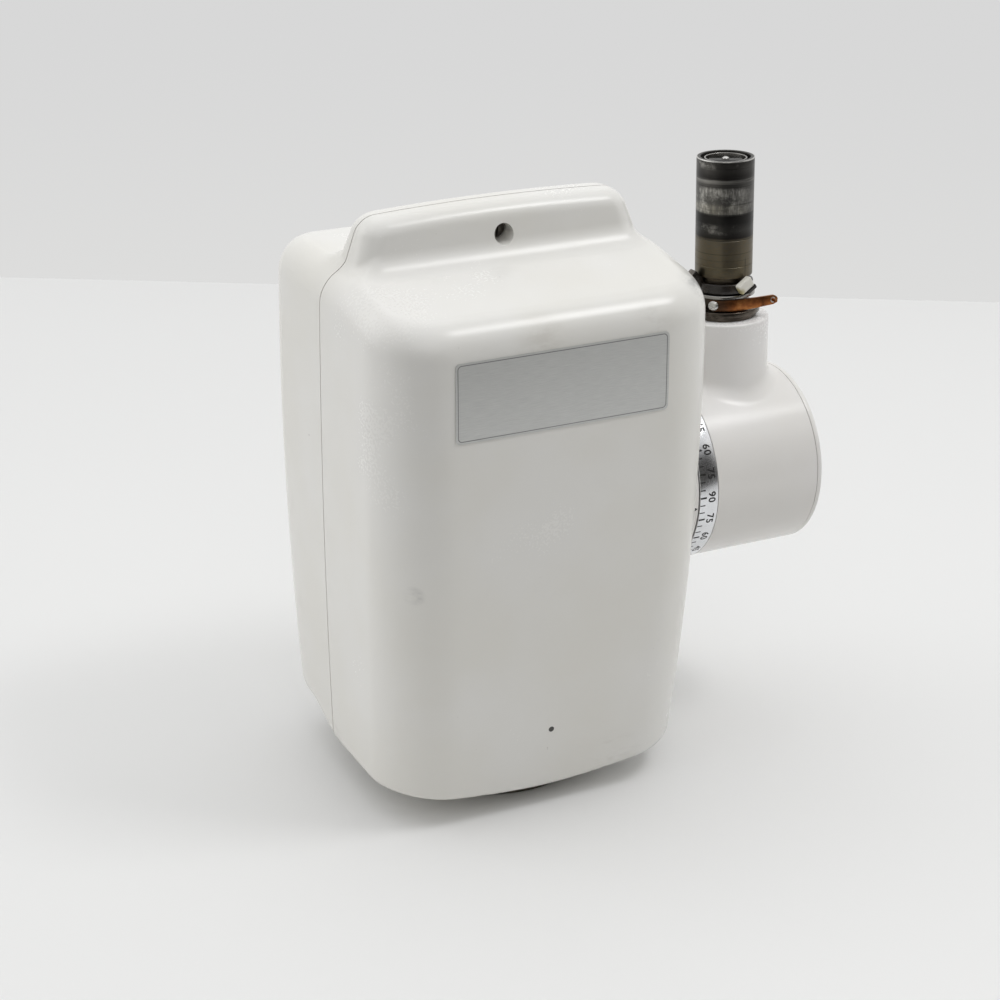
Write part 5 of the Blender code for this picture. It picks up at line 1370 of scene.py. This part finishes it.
# %% Nylon stop block and the worn tip of the ear
nylon_block = block("nylon_stop_block", (0.25 * MM, -3.7 * MM, -2.3 * MM),
                    (3.5 * MM, 3.7 * MM, 2.3 * MM), 0.7 * MM, 5)
NYLON, YELLOWED = (0.72, 0.70, 0.64), (0.34, 0.29, 0.10)
worn_nylon = plain_moulding("worn_nylon", NYLON, 0.36, 700, 0.3, (0.55, 0.50, 0.36))
aged = worn_nylon.near(worn_nylon.place(SPIGOT @ BLOCK_PLACE), (1.8 * MM, -4.0 * MM, -1.2 * MM),
                       1.6 * MM, 1.8 * MM)
worn_nylon.feed("Base Color", worn_nylon.mix(aged * 0.85, NYLON, YELLOWED))
dress(nylon_block, SPIGOT @ BLOCK_PLACE, worn_nylon, "spigot", ("stop_block",))
tip = block("ear_tip", (EAR_LENGTH + 0.02 * MM, -2.1 * MM, -1.4 * MM),
            (EAR_LENGTH + 0.22 * MM, 2.1 * MM, 1.4 * MM), 0.08 * MM)
dress(tip, SPIGOT @ EAR_PLACE, washer_steel, "spigot")

# %% Brake strap
band_high = gauge("brake_band", SPIGOT)[3]
band_low = gauge("lower_washer", SPIGOT)[3] + 1.6 * MM
STRAP_R, STRAP, STRAP_END = 14.0 * MM, 1.1 * MM, 18.3 * MM
STRAP_MIDDLE, STRAP_CUTS = (band_low + band_high) / 2, 30
NARROWING, OUT_SWAY, RISE = 0.16, 1.1 * MM, 0.7 * MM
ring_part = pipe("brake_strap", STRAP_R, STRAP_R - 1.6 * MM, band_low, band_high,
                 (0.3, 0.3, 0, 0), 144)
ARC = math.radians(55)
strip_length = ARC * STRAP_R + STRAP_END
tail = sheet("strap_tail", strip_length, band_high - band_low,
             Matrix.Translation((strip_length / 2, 0, 0)))
edit(tail)
choose(tail, "VERT", lambda m: m[:, 0] > strip_length - 1e-6)
bpy.ops.mesh.bevel(offset=2.6 * MM, segments=8, affect="VERTICES")
for step in range(1, STRAP_CUTS):
    bpy.ops.mesh.select_all(action="SELECT")
    bpy.ops.mesh.bisect(plane_co=(strip_length * step / STRAP_CUTS, 0, 0), plane_no=(1, 0, 0))
leave()
spots = points(tail)
along, across = spots[:, 0], spots[:, 1]
on_arc = along < ARC * STRAP_R
turn = -math.pi / 2 - ARC + along / STRAP_R
run = along - ARC * STRAP_R
share = np.clip(run / STRAP_END, 0, 1)
narrow = 1 - NARROWING * easing(run, 0, STRAP_END)
path = np.where(on_arc[:, None],
                np.stack([STRAP_R * np.cos(turn), STRAP_R * np.sin(turn)], axis=1),
                np.stack([run, -STRAP_R - OUT_SWAY * share ** 2], axis=1))
move_points(tail, np.column_stack([path, STRAP_MIDDLE + across * narrow + RISE * share ** 2]))
apply(tail, "SOLIDIFY", thickness=STRAP, offset=0)
tidy(tail)
apply(tail, "BEVEL", width=0.25 * MM, segments=2, limit_method="ANGLE")
eye_at = (STRAP_END - 2.3 * MM, -STRAP_R - 0.8 * MM, STRAP_MIDDLE + 0.55 * MM)
carve(tail, rod("eye", 0.75 * MM, (eye_at[0], eye_at[1] - 3 * MM, eye_at[2]),
                (eye_at[0], eye_at[1] + 3 * MM, eye_at[2]), sides=32))
carve(ring_part, tail, operation="UNION")
dress(ring_part, SPIGOT, strap_bronze, "spigot", ("brake_band",), 40)
eyelet = pipe("strap_eyelet", 1.25 * MM, 0.62 * MM, -0.42 * MM, 0.42 * MM,
              (0.12, 0.12, 0.1, 0.1), 48)
dress(eyelet, SPIGOT @ Matrix.Translation((eye_at[0], eye_at[1] - 0.28 * MM, eye_at[2]))
      @ Matrix.Rotation(math.pi / 2, 4, "X"), bright_steel, "spigot")

# %% Strap screw
SCREW_TURN = math.radians(-138)
OUTWARD = SPIGOT @ Matrix.Rotation(SCREW_TURN, 4, "Z") @ Matrix.Translation(
    (STRAP_R + 0.2 * MM, 0, STRAP_MIDDLE)) @ ALONG_X
strap_screw = turned("strap_screw", eased([
    (0, 1.5 * MM, 0), (1.5 * MM, 1.35 * MM, 1.5 * MM), (2.2 * MM, 0.8 * MM, 0.3 * MM),
    (2.2 * MM, 0, 0.1 * MM), (1.2 * MM, 0, 0), (1.2 * MM, -2.8 * MM, 0), (0, -2.8 * MM, 0)],
    closed=False), 64)
carve(strap_screw, block("slot", (-0.4 * MM, -4 * MM, 0.55 * MM), (0.4 * MM, 4 * MM, 3 * MM)))
dress(strap_screw, OUTWARD @ Matrix.Rotation(math.radians(35), 4, "Z"), bright_steel, "spigot",
      ("band_screw",))

# %% Contacts in the spigot's bore
FACE = gauge("contact_insulator", SPIGOT)[3]
sleeve = pipe("contact_sleeve_ring", *gauge("contact_sleeve", SPIGOT), (0.2, 0, 0, 0.2), 128)
dress(sleeve, SPIGOT, washer_grey, "spigot", ("contact_sleeve",))
liner = pipe("sleeve_insulation", *gauge("sleeve_insulator", SPIGOT), (0.3, 0, 0, 0.3), 128)
dress(liner, SPIGOT, black, "spigot", ("sleeve_insulator",))
core_r, _, core_low, _ = gauge("contact_insulator", SPIGOT)
core = turned("contact_insulation", eased([
    (core_r, FACE, 0.3 * MM), (core_r, core_low, 0), (0, core_low, 0),
    (0, FACE - 16 * MM, 0), (2.7 * MM, FACE - 16 * MM, 0), (2.7 * MM, FACE, 0.4 * MM)],
    closed=False) + [(core_r - 0.3 * MM, FACE)], 96)
dress(core, SPIGOT, black, "spigot", ("contact_insulator",))
_, _, bridge_low, bridge_high = gauge("contact_bridge", SPIGOT)
bridge = block("contact_bridge_bar", (-7.4 * MM, -2.6 * MM, bridge_low),
               (7.4 * MM, 2.6 * MM, bridge_high), 0.6 * MM, 4)
carve(bridge, rod("pin_hole", 1.65 * MM, (0, 0, bridge_low - MM), (0, 0, bridge_high + MM)))
dress(bridge, SPIGOT @ Matrix.Rotation(math.radians(-30), 4, "Z"), black, "spigot",
      ("contact_bridge",))
_, _, pin_low, pin_high = gauge("contact_pin", SPIGOT)
pin = turned("centre_contact_pin", eased([
    (0, pin_high, 0), (0.7 * MM, pin_high - 0.08 * MM, 0.5 * MM),
    (1.5 * MM, pin_high - 0.55 * MM, 0.4 * MM), (1.5 * MM, FACE - 0.3 * MM, 0),
    (2.4 * MM, FACE - 0.3 * MM, 0.2 * MM), (2.4 * MM, pin_low, 0), (0, pin_low, 0)],
    closed=False), 64)
dress(pin, SPIGOT, bright_steel, "contact", ("contact_pin",))

# %% [markdown]
# ## Sizes and finish
#
# The box round the bare solids and the box round the finished pieces are both printed, one
# below the other.

# %% Sizes and finish
scene.view_settings.view_transform = "Standard"
view_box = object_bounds()
for word, box in (("solids", cad_box), ("finished", view_box)):
    print(word, [[round(value / MM, 1) for value in corner] for corner in box])
